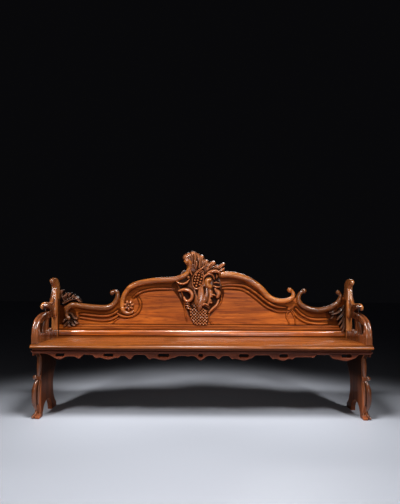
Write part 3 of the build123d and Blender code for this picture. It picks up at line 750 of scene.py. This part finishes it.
def run_moulding(profile):
    """A moulding that runs along the whole back, from its section of (proud, above the seat, wear and painted
    light) points.
    """
    places, wear_and_light_values = [], []
    for x in np.linspace(-board_end, board_end, moulding_stations):
        places += [(x * MM, (back_front - proud) * MM, (seat_top + up) * MM) for proud, up, _ in profile]
        wear_and_light_values += [wear_and_painted_light for *_, wear_and_painted_light in profile]
    count = len(profile)
    faces = [
        (row + i, row + (i + 1) % count, row + count + (i + 1) % count, row + count + i)
        for row in range(0, len(places) - count, count)
        for i in range(count)
    ]
    faces += [tuple(range(count)), tuple(range(len(places) - count, len(places)))]
    mesh = bpy.data.meshes.new("moulding")
    mesh.from_pydata(places, [], faces)
    set_wear_and_light(mesh, wear_and_light_values)
    form = bmesh.new()
    form.from_mesh(mesh)
    bmesh.ops.recalc_face_normals(form, faces=form.faces)
    form.to_mesh(mesh)
    form.free()
    mesh.shade_smooth()
    mesh.set_sharp_from_angle(angle=seat_crease)
    return mesh


fit(run_moulding(rail_profile), "foot_rail_moulding", rail_finish, "seat_wood", "back_foot_rail")
fit(run_moulding(step_profile), "step_moulding", back_finish, "seat_wood", "back_step_moulding")

# Crest rolls
# Four fat rounded scrolls run along the top of the back and end in curls with a ball in each.
# They are carved in one with the board; the inner pair takes a lit copy of the scroll wood and the outer pair
# a darker copy, as painted shade.
roll_colours = ((0.82, 0.27, 0.050), (0.50, 0.140, 0.023), (0.16, 0.039, 0.008))
roll_swells = {
    "left_outer_roll": (left_outer_roll, ((0, 14), (0.2, 19), (0.6, 21), (0.85, 16), (1, 12)), (16, 17)),
    "left_inner_roll": (left_inner_roll, ((0, 14), (0.3, 19), (0.7, 20), (1, 14)), (10, 21)),
    "right_inner_roll": (right_inner_roll, ((0, 23), (0.5, 22), (0.8, 17), (1, 12)), (18, 17)),
    "right_outer_roll": (right_outer_roll, ((0, 12), (0.2, 17), (0.55, 21), (0.9, 14), (1, 11)), (17, 16)),
}
flower_curl = (
    (-544, 652, 15, 2), (-540, 634, 15, 4), (-524, 620, 13, 6), (-502, 615, 11, 6), (-480, 621, 9, 6),
    (-466, 634, 6, 6),
)
crown_curl = (
    (-96, 908, 14, 4), (-84, 935, 14, 12), (-82, 958, 14, 20), (-92, 974, 13, 24), (-106, 972, 15, 25),
    (-113, 962, 17, 25),
)
roll_sides = 24
roll_finish = polished_wood(
    "lit_scroll_wood", roll_colours, lengthwise, gloss=0.22, figure=1.4, polish=0.6
)
shaded_roll_colours = ((0.36, 0.116, 0.029), (0.20, 0.058, 0.014), (0.062, 0.016, 0.004))
shaded_roll_finish = polished_wood(
    "shaded_scroll_wood", shaded_roll_colours, lengthwise, gloss=0.22, figure=1.4, polish=0.6
)
for roll_name, ((start, heading, arcs), swell, balls) in roll_swells.items():
    line = arc_line(start, heading, arcs)
    share = np.linspace(0, 1, len(line))
    radii = np.interp(share, *np.array(swell).T)
    path = np.column_stack([line[:, 0], np.full(len(line), back_front), line[:, 1]])
    forms = [moulding(path, radii, roll_finish, roll_sides)]
    for (x, y, z), radius in zip((path[0], path[-1]), balls):
        forms.append(knob(x, y, z, radius))
    if roll_name == "left_inner_roll":
        for points in (flower_curl, crown_curl):
            curl = smooth_line(points)
            curl_path = np.column_stack([curl[:, 0], back_front - curl[:, 3], curl[:, 1]])
            forms.append(moulding(curl_path, curl[:, 2], roll_finish, roll_sides))
    roll = fused(forms, voxel=2, smoothing=3)
    paint_wear_and_light(roll, depth=6)
    # painted shade: the outer rolls take the darker copy of the scroll wood
    finish = shaded_roll_finish if "outer" in roll_name else roll_finish
    fit(roll, roll_name + "_carving", finish, "carved_wood", roll_name)

# Beads on the back
# Slim rounded beads follow the scrolls across the face of the back and turn about the flower at the left.
# They are worked on the board itself with a scratch tool.
bead_radius = 8
border_radius = 4
bead_rise = 10
bead_tip, bead_taper = 0.35, 5
bead_wax = 0.42


def tapered(count, tip, taper):
    """Shares of a thickness along a line that thins to a tip at both ends."""
    share = np.linspace(0, 1, count)
    return np.minimum(1, tip + taper * np.minimum(share, 1 - share))


for bead_name, lines in bead_lines.items():
    forms = []
    slim_lines = border_lines.get(bead_name, [])
    for points, radius in [(p, bead_radius) for p in lines] + [(p, border_radius) for p in slim_lines]:
        line = smooth_line(points)
        radii = radius * tapered(len(line), bead_tip, bead_taper)
        depth = np.full(len(line), back_front + radius - bead_rise)
        forms.append(moulding(np.column_stack([line[:, 0], depth, line[:, 1]]), radii, back_finish))
    bead = fused(forms, voxel=1.6, smoothing=2)
    paint_wear_and_light(bead, depth=6)
    darken(bead, lambda x, y, z: bead_wax)
    fit(bead, bead_name + "_carving", back_finish, "carved_wood", bead_name)

# Rosette
# A small flower sits in the lower curl of the left inner scroll: round petals about an eye.
# It is carved in the solid; the dark between the petals and the pale on them are wax and wear together with
# painted shade and highlights.
rosette_middle = (-500, 668)
petal_count, petal_turn = 7, 12
petal = ((9, 7, 12), (20, 12, 20), (29, 10, 16))
carving_colours = ((0.46, 0.145, 0.044), (0.24, 0.068, 0.020), (0.065, 0.017, 0.006))
carving_finish = polished_wood("carved_ornament_wood", carving_colours, upright, gloss=0.22, polish=1.0)


def set_relief(carving, name, finish, node_name, rear=back_front + carving_backing):
    """Set a carved relief on the face of the back."""
    fit(carving.skin(back_front, rear), name, finish, "carved_wood", node_name)


flower = Carving(-545, -455, 623, 713, step=1.5)
flower.dome(*rosette_middle, 33, 33, turn=0, lift=6)
for number in range(petal_count):
    turn = 360 * number / petal_count + petal_turn
    reach_x, reach_z = math.cos(math.radians(turn)), math.sin(math.radians(turn))
    flower.leaf(
        [
            (rosette_middle[0] + away * reach_x, rosette_middle[1] + away * reach_z, half, lift)
            for away, half, lift in petal
        ],
        over=2,
    )
flower.dome(*rosette_middle, 10, 10, turn=0, lift=25)
flower.hollows(reach=4, depth=5)
set_relief(flower, "rosette_carving", carving_finish, "rosette")

# Carved shield in the middle of the back
# A lively asymmetric ornament: a leaf mask between volutes, under a beaded oval and over a field of lattice.
# It is carved from thick stock on the board, deeply undercut; its hollows are painted dark and its high
# places pale, partly as black wax and wear and partly as painted shade and highlights.
shield_ground = (
    (-5, 882, 62, 12), (-20, 850, 98, 14), (-24, 832, 132, 14), (-17, 797, 146, 15), (-10, 763, 136, 16),
    (-3, 722, 118, 16), (-8, 687, 108, 15), (-15, 653, 92, 14), (-20, 619, 70, 12), (-9, 575, 56, 9),
    (-4, 556, 48, 7),
)
lattice_pitch, lattice_level, lattice_rise = 15, 10, 5
lattice_shade_level, lattice_highlight = 0.88, 0.3
lattice_field = ((-34, 636, 52, 1), (-20, 600, 62, 1), (-6, 560, 46, 1))
shield_ridges = (
    ((-158, 770, 9, 14), (-122, 778, 16, 26), (-86, 770, 18, 32), (-68, 746, 18, 34), (-72, 716, 17, 32),
     (-95, 700, 16, 30), (-114, 708, 14, 26), (-122, 724, 10, 20)),
    ((-178, 838, 5, 16), (-158, 822, 9, 24), (-130, 818, 10, 28), (-103, 828, 10, 26), (-86, 849, 6, 18)),
    ((113, 706, 10, 14), (100, 674, 12, 18), (72, 648, 12, 18), (48, 622, 9, 12)),
    ((-4, 668, 6, 22), (20, 682, 8, 28), (42, 672, 7, 24)),
    ((11, 808, 7, 16), (6, 845, 9, 24), (22, 874, 10, 28), (48, 887, 11, 30), (72, 878, 10, 28),
     (84, 853, 7, 20)),
    ((82, 826, 5, 12), (100, 828, 7, 16), (118, 824, 5, 12)),
    ((64, 742, 6, 20), (78, 744, 9, 28), (92, 738, 6, 20)),
)
shield_leaves = (
    ((-8, 785, 42, 18), (-8, 745, 52, 24), (-12, 705, 54, 28), (-16, 672, 38, 27), (-20, 640, 14, 18)),
    ((48, 782, 22, 18), (60, 748, 24, 23), (56, 712, 20, 22), (42, 682, 13, 18)),
    ((92, 780, 22, 18), (112, 756, 22, 23), (106, 730, 16, 20)),
    ((-114, 688, 6, 16), (-96, 684, 8, 20), (-80, 676, 6, 16)),
    ((-110, 671, 6, 16), (-94, 667, 8, 20), (-79, 660, 6, 16)),
    ((-104, 654, 6, 14), (-90, 650, 8, 18), (-78, 643, 6, 12)),
    ((79, 804, 6, 18), (100, 797, 9, 25), (121, 797, 5, 16)),
    ((99, 884, 6, 16), (101, 869, 9, 25), (97, 857, 5, 16)),
    ((-70, 880, 7, 18), (-80, 905, 8, 22), (-72, 925, 6, 16)),
)
shield_floor = 5
deep_dark_level, deep_dark_rise, deep_dark_strength = 15, 8, 0.65
shield_holes = (
    ((-132, 757, 9, 13), (-110, 744, 14, 16), (-98, 722, 12, 16), (-106, 712, 7, 10)),
    ((66, 720, 10, 18), (80, 708, 11, 20), (88, 698, 7, 12)),
    ((8, 660, 9, 16), (24, 652, 12, 18), (38, 645, 9, 14)),
    ((-80, 672, 8, 12), (-66, 655, 10, 14)),
    ((-36, 790, 12, 14), (-34, 760, 11, 12), (-30, 730, 7, 5), (-30, 702, 4, 2)),
    ((16, 792, 11, 12), (18, 762, 10, 10), (14, 732, 6, 4), (12, 706, 4, 2)),
    ((-150, 840, 10, 12), (-125, 842, 14, 14), (-105, 852, 10, 12)),
    ((76, 790, 6, 10), (84, 765, 6, 10), (86, 750, 4, 6)),
)
oval_middle = (-27, 846)
oval_half = (39, 66)
oval_turn = -14
oval_rows, row_pitch, bead_pitch = 6, 19, 20
oval_floor, oval_open, oval_full = 9, 0.84, 0.78
rim_at, rim_width, rim_height, rim_fall = 0.95, 0.12, 22, 16
middle_shift = 5

shield = Carving(-190, 145, 540, 912, step=2)
shield.ridge(shield_ground)
in_ground = shield.height > 0
in_lattice = shield.mark(lattice_field) > 0.12
wave = 2 * math.pi / (lattice_pitch * math.sqrt(2))
slope_up = np.cos(wave * (shield.x[None, :] + shield.z[:, None]))
slope_down = np.cos(wave * (shield.x[None, :] - shield.z[:, None]))
bars = np.maximum(slope_up, slope_down)
shield.height = np.where(in_lattice, lattice_level + lattice_rise * bars, shield.height)
for points in shield_leaves:
    shield.ridge(points, over=2)
for points in shield_holes:
    shield.groove(points)
shield.height = np.where(in_ground, np.maximum(shield.height, shield_floor), shield.height)
for points in shield_ridges:
    shield.ridge(points, over=2)
shield.dome(-17, 715, 10, 11, turn=0, lift=24, over=12)
shield.dome(62, 690, 10, 9, turn=20, lift=16, over=10)
shield.dome(-93, 862, 11, 12, turn=0, lift=26, over=6)
lean_x, lean_z = math.sin(math.radians(oval_turn)), math.cos(math.radians(oval_turn))
from_middle_x = shield.x[None, :] - oval_middle[0]
from_middle_z = shield.z[:, None] - oval_middle[1]
oval = np.hypot(
    (from_middle_x * lean_z + from_middle_z * lean_x) / oval_half[0],
    (from_middle_z * lean_z - from_middle_x * lean_x) / oval_half[1],
)
shield.height = np.where(oval < oval_open, oval_floor, shield.height)
shield.height = np.maximum(shield.height, rim_height - rim_fall * ((oval - rim_at) / rim_width) ** 2)
for row in range(oval_rows):
    up_oval = (row - (oval_rows - 1) / 2) * row_pitch
    for across_oval in (-bead_pitch, 0, bead_pitch):
        if math.hypot(across_oval / oval_half[0], up_oval / oval_half[1]) < oval_full:
            shield.dome(
                oval_middle[0] + across_oval * lean_z - up_oval * lean_x,
                oval_middle[1] + across_oval * lean_x + up_oval * lean_z + middle_shift * (across_oval == 0),
                9.5, 9, turn=0, lift=18, over=oval_floor,
            )
shield.hollows(reach=5, depth=4.5)
# painted highlights on the lattice bars and painted shade in its cells
shield.shade += in_lattice * np.clip(bars - lattice_shade_level, -1, lattice_highlight)
# darker where the carving lies deep: black wax and painted shade together
shield.shade -= deep_dark_strength * rise(deep_dark_level - shield.height, 0, deep_dark_rise)
set_relief(shield, "cartouche_shield_carving", carving_finish, "cartouche_shield")

# Polished boss on the shield
# A smooth kidney-shaped boss beside the oval, the one plain and shiny spot of the ornament.
# It is cut in the solid of the shield and burnished.
boss_colours = ((0.46, 0.16, 0.035), (0.34, 0.10, 0.020), (0.19, 0.050, 0.012))
boss_finish = polished_wood("polished_boss_wood", boss_colours, upright, gloss=0.18, polish=0.4)
kidney = Carving(0, 95, 770, 880, step=1.5)
kidney.ridge(((50, 846, 22, 32), (38, 838, 26, 36), (36, 822, 26, 36), (42, 806, 26, 36), (54, 798, 22, 32)))
kidney.hollows(reach=8, depth=12)
set_relief(kidney, "cartouche_boss", boss_finish, "cartouche_cabochon")

# Shell that crowns the back
# Fluted lobes and leaf tips break over the top of the crest like a wave, each with its own turn.
# It is carved from a block glued on the board, and its rear is left flat and plain.
crown_colours = ((0.54, 0.19, 0.072), (0.29, 0.090, 0.032), (0.075, 0.021, 0.008))
crown_finish = polished_wood("carved_crown_wood", crown_colours, upright, gloss=0.22, polish=1.0)
crown_body = ((-62, 936, 46, 17), (-30, 946, 52, 19), (10, 936, 48, 19), (52, 924, 42, 19), (96, 908, 30, 16))
crown_lobes = (
    ((-66, 950, 24, 20), (-92, 986, 34, 29), (-104, 996, 31, 30)),
    ((-60, 960, 24, 22), (-80, 1004, 28, 31), (-94, 1013, 20, 29)),
    ((-50, 940, 24, 24), (-56, 985, 30, 31), (-62, 1010, 31, 32), (-64, 1016, 28, 30)),
    ((-16, 930, 18, 24), (-9, 970, 21, 29), (-4, 996, 19, 30), (-4, 1001, 17, 28)),
    ((10, 926, 20, 24), (22, 956, 21, 28), (27, 970, 17, 27)),
    ((38, 920, 22, 24), (60, 946, 23, 30), (76, 959, 19, 33)),
    ((62, 914, 19, 22), (88, 932, 18, 26), (106, 936, 13, 23)),
    ((80, 910, 16, 22), (118, 931, 18, 30), (146, 952, 14, 28)),
    ((92, 902, 13, 20), (126, 911, 14, 24), (146, 922, 11, 22)),
)
crown_grooves = (
    ((-76, 966, 4, 3), (-98, 994, 4, 5), (-126, 1000, 3, 4)),
    ((-70, 976, 4, 3), (-86, 1010, 4, 5), (-108, 1024, 3, 4)),
    ((-64, 980, 4, 3), (-70, 1012, 4, 5), (-84, 1032, 3, 4)),
    ((-58, 955, 5, 8), (-56, 990, 6, 11), (-58, 1018, 5, 8)),
    ((-34, 955, 4, 8), (-34, 990, 5, 10), (-36, 1012, 4, 6)),
    ((-12, 938, 4, 7), (-7, 972, 5, 9), (-4, 996, 4, 5)),
    ((14, 938, 4, 7), (20, 958, 4, 8), (24, 970, 3, 5)),
    ((48, 928, 5, 8), (65, 950, 5, 9), (76, 960, 3, 5)),
    ((66, 920, 4, 6), (86, 934, 4, 7), (98, 937, 3, 4)),
    ((90, 915, 4, 6), (118, 931, 4, 8), (140, 948, 3, 5)),
)
crown_folds = (
    ((-44, 924, 8, 32), (-37, 950, 9, 41), (-36, 972, 7, 36)),
    ((-26, 912, 6, 30), (-6, 921, 9, 42), (14, 937, 7, 34)),
    ((40, 894, 11, 26), (66, 903, 17, 44), (94, 906, 17, 44), (116, 898, 13, 36), (130, 889, 8, 22)),
    ((-46, 880, 5, 20), (-30, 898, 6, 28), (-14, 909, 7, 32), (2, 909, 7, 32), (8, 898, 6, 28),
     (0, 887, 6, 24), (-9, 890, 5, 20)),
)
crown_web = (
    (-108, 984, 22, 19), (-84, 998, 32, 22), (-54, 1004, 34, 24), (-12, 980, 30, 24), (24, 954, 26, 23),
    (60, 938, 26, 23), (96, 922, 20, 19),
)
crown = Carving(-165, 165, 868, 1056, step=2)
for points in (crown_body, crown_web, *crown_lobes):
    crown.ridge(points)
for points in crown_grooves:
    crown.groove(points)
for points in crown_folds:
    crown.ridge(points)
crown.hollows(reach=5, depth=5)
crown_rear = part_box("cartouche_shell")[1].y / MM
set_relief(crown, "cartouche_shell_carving", crown_finish, "cartouche_shell", crown_rear)

# Leaves at the ends of the back
# Acanthus sprays fill the corners: one over the left scroll, one hanging under it, and a fan at the right.
# They are carved in low relief and finished darker than the fields, partly as painted shade; their low ground
# is painted darker still, as shade.
leaf_colours = ((0.19, 0.073, 0.036), (0.064, 0.022, 0.010), (0.016, 0.006, 0.003))
leaf_breadth, leaf_margin = 1.25, 16
leaf_shade_level, leaf_shade_rise, leaf_shade = 21, 10, 0.9
leaf_finish = polished_wood("dark_leaf_wood", leaf_colours, upright, gloss=0.22, polish=1.0)
leaf_sprays = {
    "left_corner_leaf": (
        (
            ((-946, 684, 10, 22), (-905, 708, 14, 28), (-871, 718, 14, 30), (-847, 706, 10, 24),
             (-828, 690, 5, 16)),
            ((-938, 700, 9, 20), (-953, 726, 8, 22), (-960, 748, 8, 24), (-958, 764, 11, 30)),
            ((-940, 702, 8, 22), (-944, 720, 10, 26), (-938, 734, 9, 26)),
            ((-924, 706, 8, 22), (-929, 728, 10, 28), (-924, 744, 11, 28)),
            ((-906, 710, 8, 22), (-908, 730, 10, 28), (-902, 744, 11, 30)),
            ((-888, 712, 8, 22), (-886, 724, 10, 28), (-878, 732, 10, 28)),
            ((-876, 712, 8, 22), (-864, 720, 11, 34), (-850, 712, 10, 34)),
        ),
        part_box("left_corner_leaf")[1].y / MM,
    ),
    "left_spray": (
        (
            ((-914, 612, 6, 14), (-891, 610, 7, 18), (-880, 594, 7, 20), (-868, 580, 8, 22),
             (-857, 577, 9, 28)),
            ((-902, 566, 7, 14), (-918, 552, 9, 20), (-932, 534, 10, 24), (-940, 526, 8, 22)),
            ((-896, 564, 7, 14), (-908, 546, 9, 20), (-908, 530, 10, 24), (-898, 524, 7, 20)),
            ((-888, 566, 7, 14), (-884, 548, 9, 20), (-876, 534, 10, 24), (-866, 532, 7, 20)),
            ((-880, 572, 7, 14), (-866, 560, 9, 20), (-856, 546, 9, 24), (-846, 546, 6, 18)),
            ((-916, 582, 7, 14), (-934, 572, 9, 18), (-946, 556, 9, 20)),
        ),
        back_front + carving_backing,
    ),
    "right_corner_leaf": (
        (
            ((972, 672, 6, 16), (950, 644, 8, 20), (919, 621, 8, 20), (885, 613, 5, 14)),
            ((972, 648, 6, 16), (957, 616, 8, 20), (936, 592, 8, 22), (926, 577, 6, 22)),
            ((972, 618, 6, 16), (961, 582, 8, 20), (946, 560, 8, 24), (936, 544, 6, 22)),
            ((972, 588, 6, 18), (965, 552, 8, 24), (956, 532, 8, 26), (948, 518, 6, 24)),
            ((972, 556, 6, 20), (968, 524, 8, 26), (962, 506, 7, 28), (956, 496, 5, 26)),
            ((905, 640, 5, 10), (892, 628, 7, 16), (872, 626, 5, 12)),
            ((900, 606, 5, 12), (890, 590, 7, 16), (878, 580, 5, 12)),
        ),
        back_front + carving_backing,
    ),
}
leaf_grounds = {
    "left_corner_leaf": ((-948, 690, 18, 12), (-905, 706, 26, 15), (-860, 704, 18, 13)),
    "left_spray": ((-912, 596, 24, 8), (-896, 562, 34, 9), (-890, 540, 30, 8)),
    "right_corner_leaf": ((950, 640, 24, 8), (952, 590, 30, 10), (958, 530, 22, 12)),
}
for leaf_name, (fingers, leaf_rear) in leaf_sprays.items():
    corners = np.array([point[:2] for points in fingers for point in points], float)
    left, low_edge = corners.min(0) - leaf_margin
    right, high_edge = corners.max(0) + leaf_margin
    spray = Carving(max(left, -board_end), min(right, board_end), low_edge, high_edge, step=1.5)
    spray.ridge(leaf_grounds[leaf_name])
    for points in fingers:
        spray.leaf([(x, z, leaf_breadth * w, h) for x, z, w, h in points])
    spray.hollows(reach=6, depth=5)
    # painted shade on the low ground between the fingers
    spray.shade -= leaf_shade * rise(leaf_shade_level - spray.height, 0, leaf_shade_rise)
    set_relief(spray, leaf_name + "_carving", leaf_finish, leaf_name, leaf_rear)

# Arms
# Each arm is a pierced scroll: a post with a curl and a hook, a front scroll, and a strut between them.
# They are sawn from thick board, and their front edges are carved as two ridges with a groove between.
arm_colours = ((0.27, 0.078, 0.024), (0.120, 0.031, 0.010), (0.036, 0.009, 0.003))
# the posts take a brighter copy of the arm wood, as painted light on their fronts
lit_post_colours = ((0.95, 0.34, 0.090), (0.64, 0.200, 0.048), (0.21, 0.058, 0.015))
arm_middle = 993
pair = ((9, -11), (9, 11))
post_ridges = ((13, -3), (7, 15))
crown_ridges = ((8, -8), (8, 8))
scroll_edge = (
    (-211, 462), (-213, 500), (-203, 545), (-176, 586), (-130, 608), (-70, 622), (-14, 624), (14, 612),
    (8, 598),
)
hook_line = (
    (993, 146, 782, 10), (993, 124, 732, 11), (995, 92, 692, 11), (998, 52, 684, 10), (1002, 10, 686, 10),
    (1006, -26, 686, 10), (1010, -43, 675, 9), (1011, -40, 660, 8), (1007, -31, 656, 6),
)
web_line = (
    (980, 148, 784, 9), (976, 128, 724, 12), (975, 108, 668, 13), (975, 104, 622, 12), (977, 112, 594, 8),
)
post_edge = ((158, 478), (158, 560), (157, 700), (155, 780), (148, 806), (128, 820), (114, 826))
post_crown = ((226, 800), (214, 830), (180, 846), (140, 846), (112, 836), (110, 824), (122, 820))
lean_from, lean_to, lean_out, lean_thin = 690, 846, 6, 0.35
scroll_lining = ((-194, 490), (-190, 530), (-168, 564), (-126, 584), (-70, 598), (-20, 602))
strut_edge = ((-84, 505), (-80, 535), (-66, 566), (-44, 600))
foot_bumps = ((-140, 508, 14), (28, 510, 15), (62, 512, 18), (-62, 508, 12))
lining_radius, strut_radius = 12, 15
ridge_tip, ridge_taper = 0.6, 4
post_relief, arm_relief = 4.5, 2.0
flank_at, flank_run, flank_from, flank_shade = 978, 2, 165, 1.1
strut_at, strut_run = 990, 4
lining_at, lining_run, lining_top = -178, 8, 575
opening_shade = 1.2
arm_finish = polished_wood("carved_arm_wood", arm_colours, upright, gloss=0.22, polish=1.0)
lit_post_finish = polished_wood("lit_post_wood", lit_post_colours, upright, gloss=0.22, polish=1.0)


def arm_ridge(side, line, radius, offset):
    """A rounded ridge along an edge of an arm, beside its middle."""
    edge = smooth_line(line)
    radii = radius * tapered(len(edge), ridge_tip, ridge_taper)
    beside = np.full(len(edge), side * (arm_middle + offset))
    return moulding(np.column_stack([beside, edge]), radii, arm_finish)


for side_name, side in sides:
    arm_forms = {
        "arm_scroll": [
            *(arm_ridge(side, scroll_edge, radius, offset) for radius, offset in pair),
            arm_ridge(side, scroll_lining, lining_radius, 0),
        ],
        "arm_post": [
            arm_ridge(side, line, radius, offset)
            for line, ridges in ((post_edge, post_ridges), (post_crown, crown_ridges))
            for radius, offset in ridges
        ],
        "arm_strut": [arm_ridge(side, strut_edge, strut_radius, 0)],
        "arm_rail": [knob(side * arm_middle, y, z, radius, (1, 1, 0.9)) for y, z, radius in foot_bumps],
    }
    arm_forms["arm_post"] += [limb(points, side, lit_post_finish) for points in (hook_line, web_line)]
    for part_name, forms in arm_forms.items():
        node_name = f"{side_name}_{part_name}"
        part = fused([whole(node_name), *forms], voxel=1.8, smoothing=3)
        paint_wear_and_light(part, post_relief if part_name == "arm_post" else arm_relief)
        if part_name == "arm_post":
            for vertex in part.vertices:
                lean = min(max((vertex.co.z / MM - lean_from) / (lean_to - lean_from), 0), 1)
                beside = side * vertex.co.x / MM - arm_middle
                vertex.co.x = side * (arm_middle + lean_out * lean + beside * (1 - lean_thin * lean)) * MM
            # painted shade on the inner flank of the post
            darken(part, lambda x, y, z: flank_shade * rise(-side * x, -flank_at, flank_run) * (y > flank_from))
        if part_name == "arm_strut":
            # painted shade on the strut, to darken the openings beside it
            darken(part, lambda x, y, z: opening_shade * rise(side * x, strut_at, strut_run))
        if part_name == "arm_scroll":
            # painted shade on the scroll's lining inside its opening
            darken(part, lambda x, y, z: opening_shade * rise(y, lining_at, lining_run) * (z < lining_top))
        finish = lit_post_finish if part_name == "arm_post" else arm_finish
        fit(part, node_name + "_carving", finish, "arm_wood", node_name)

# Floor, lights and camera
# A plain pale floor under one overhead light, with soft lights in front, at the ends and behind.
# The camera stands straight in front of the bench, at about the height of the back.
floor_mesh = bpy.data.meshes.new("floor")
floor_mesh.from_pydata([(-14, -8, 0), (14, -8, 0), (14, 20, 0), (-14, 20, 0)], [], [(0, 1, 2, 3)])
floor = placed("floor", floor_mesh)
floor_finish = bpy.data.materials.new("pale_floor")
floor_finish.use_nodes = True
floor_shader = floor_finish.node_tree.nodes["Principled BSDF"]
floor_shader.inputs["Base Color"].default_value = (0.575, 0.60, 0.67, 1)
floor_shader.inputs["Roughness"].default_value = 0.45
floor_mesh.materials.append(floor_finish)

world = bpy.data.worlds.new("studio")
bpy.context.scene.world = world
world.use_nodes = True
world.node_tree.nodes["Background"].inputs["Color"].default_value = (0.0025, 0.0025, 0.003, 1)


def soft_light(name, place, aim, width, height, power, spread):
    """A rectangular studio light turned to its aim."""
    lamp = bpy.data.lights.new(name, "AREA")
    lamp.shape = "RECTANGLE"
    lamp.size = width
    lamp.size_y = height
    lamp.energy = power
    lamp.spread = math.radians(spread)
    light = placed(name, lamp)
    light.location = place
    look = np.array(aim, float) - np.array(place, float)
    flat = math.hypot(look[0], look[1])
    light.rotation_euler = (math.atan2(flat, -look[2]), 0, math.atan2(-look[0], look[1]))


spot_data = bpy.data.lights.new("overhead_light", "SPOT")
spot_data.energy = 310
spot_data.spot_size = math.radians(86)
spot_data.spot_blend = 0.45
spot_data.shadow_soft_size = 0.4
spot = placed("overhead_light", spot_data)
spot.location = (-0.05, -0.95, 2.6)
soft_light("front_fill", (0.5, -3.6, 1.15), (0, 0.2, 0.75), 1.6, 0.8, 3, 60)
for side_name, side in sides:
    soft_light(side_name + "_end_light", (side * 1.65, -1.5, 2.2), (side * 0.65, 0, 0.35), 0.3, 0.5, 1.9, 34)
soft_light("rear_fill", (0.3, 2.6, 2.4), (0, 0.24, 1.5), 2.2, 0.5, 3.2, 44)

camera_data = bpy.data.cameras.new("camera")
camera = placed("camera", camera_data)
bpy.context.scene.camera = camera
camera.location = (0, -2.930, 0.804)
camera.rotation_euler = (math.radians(90), math.radians(-0.25), 0)
camera_data.sensor_width = 36
picture_height = 504
focal_pixels = 457.2
camera_data.lens = focal_pixels * camera_data.sensor_width / picture_height
camera_data.shift_x = -2 / picture_height
camera_data.shift_y = 34 / picture_height
bpy.context.scene.view_settings.view_transform = "Standard"
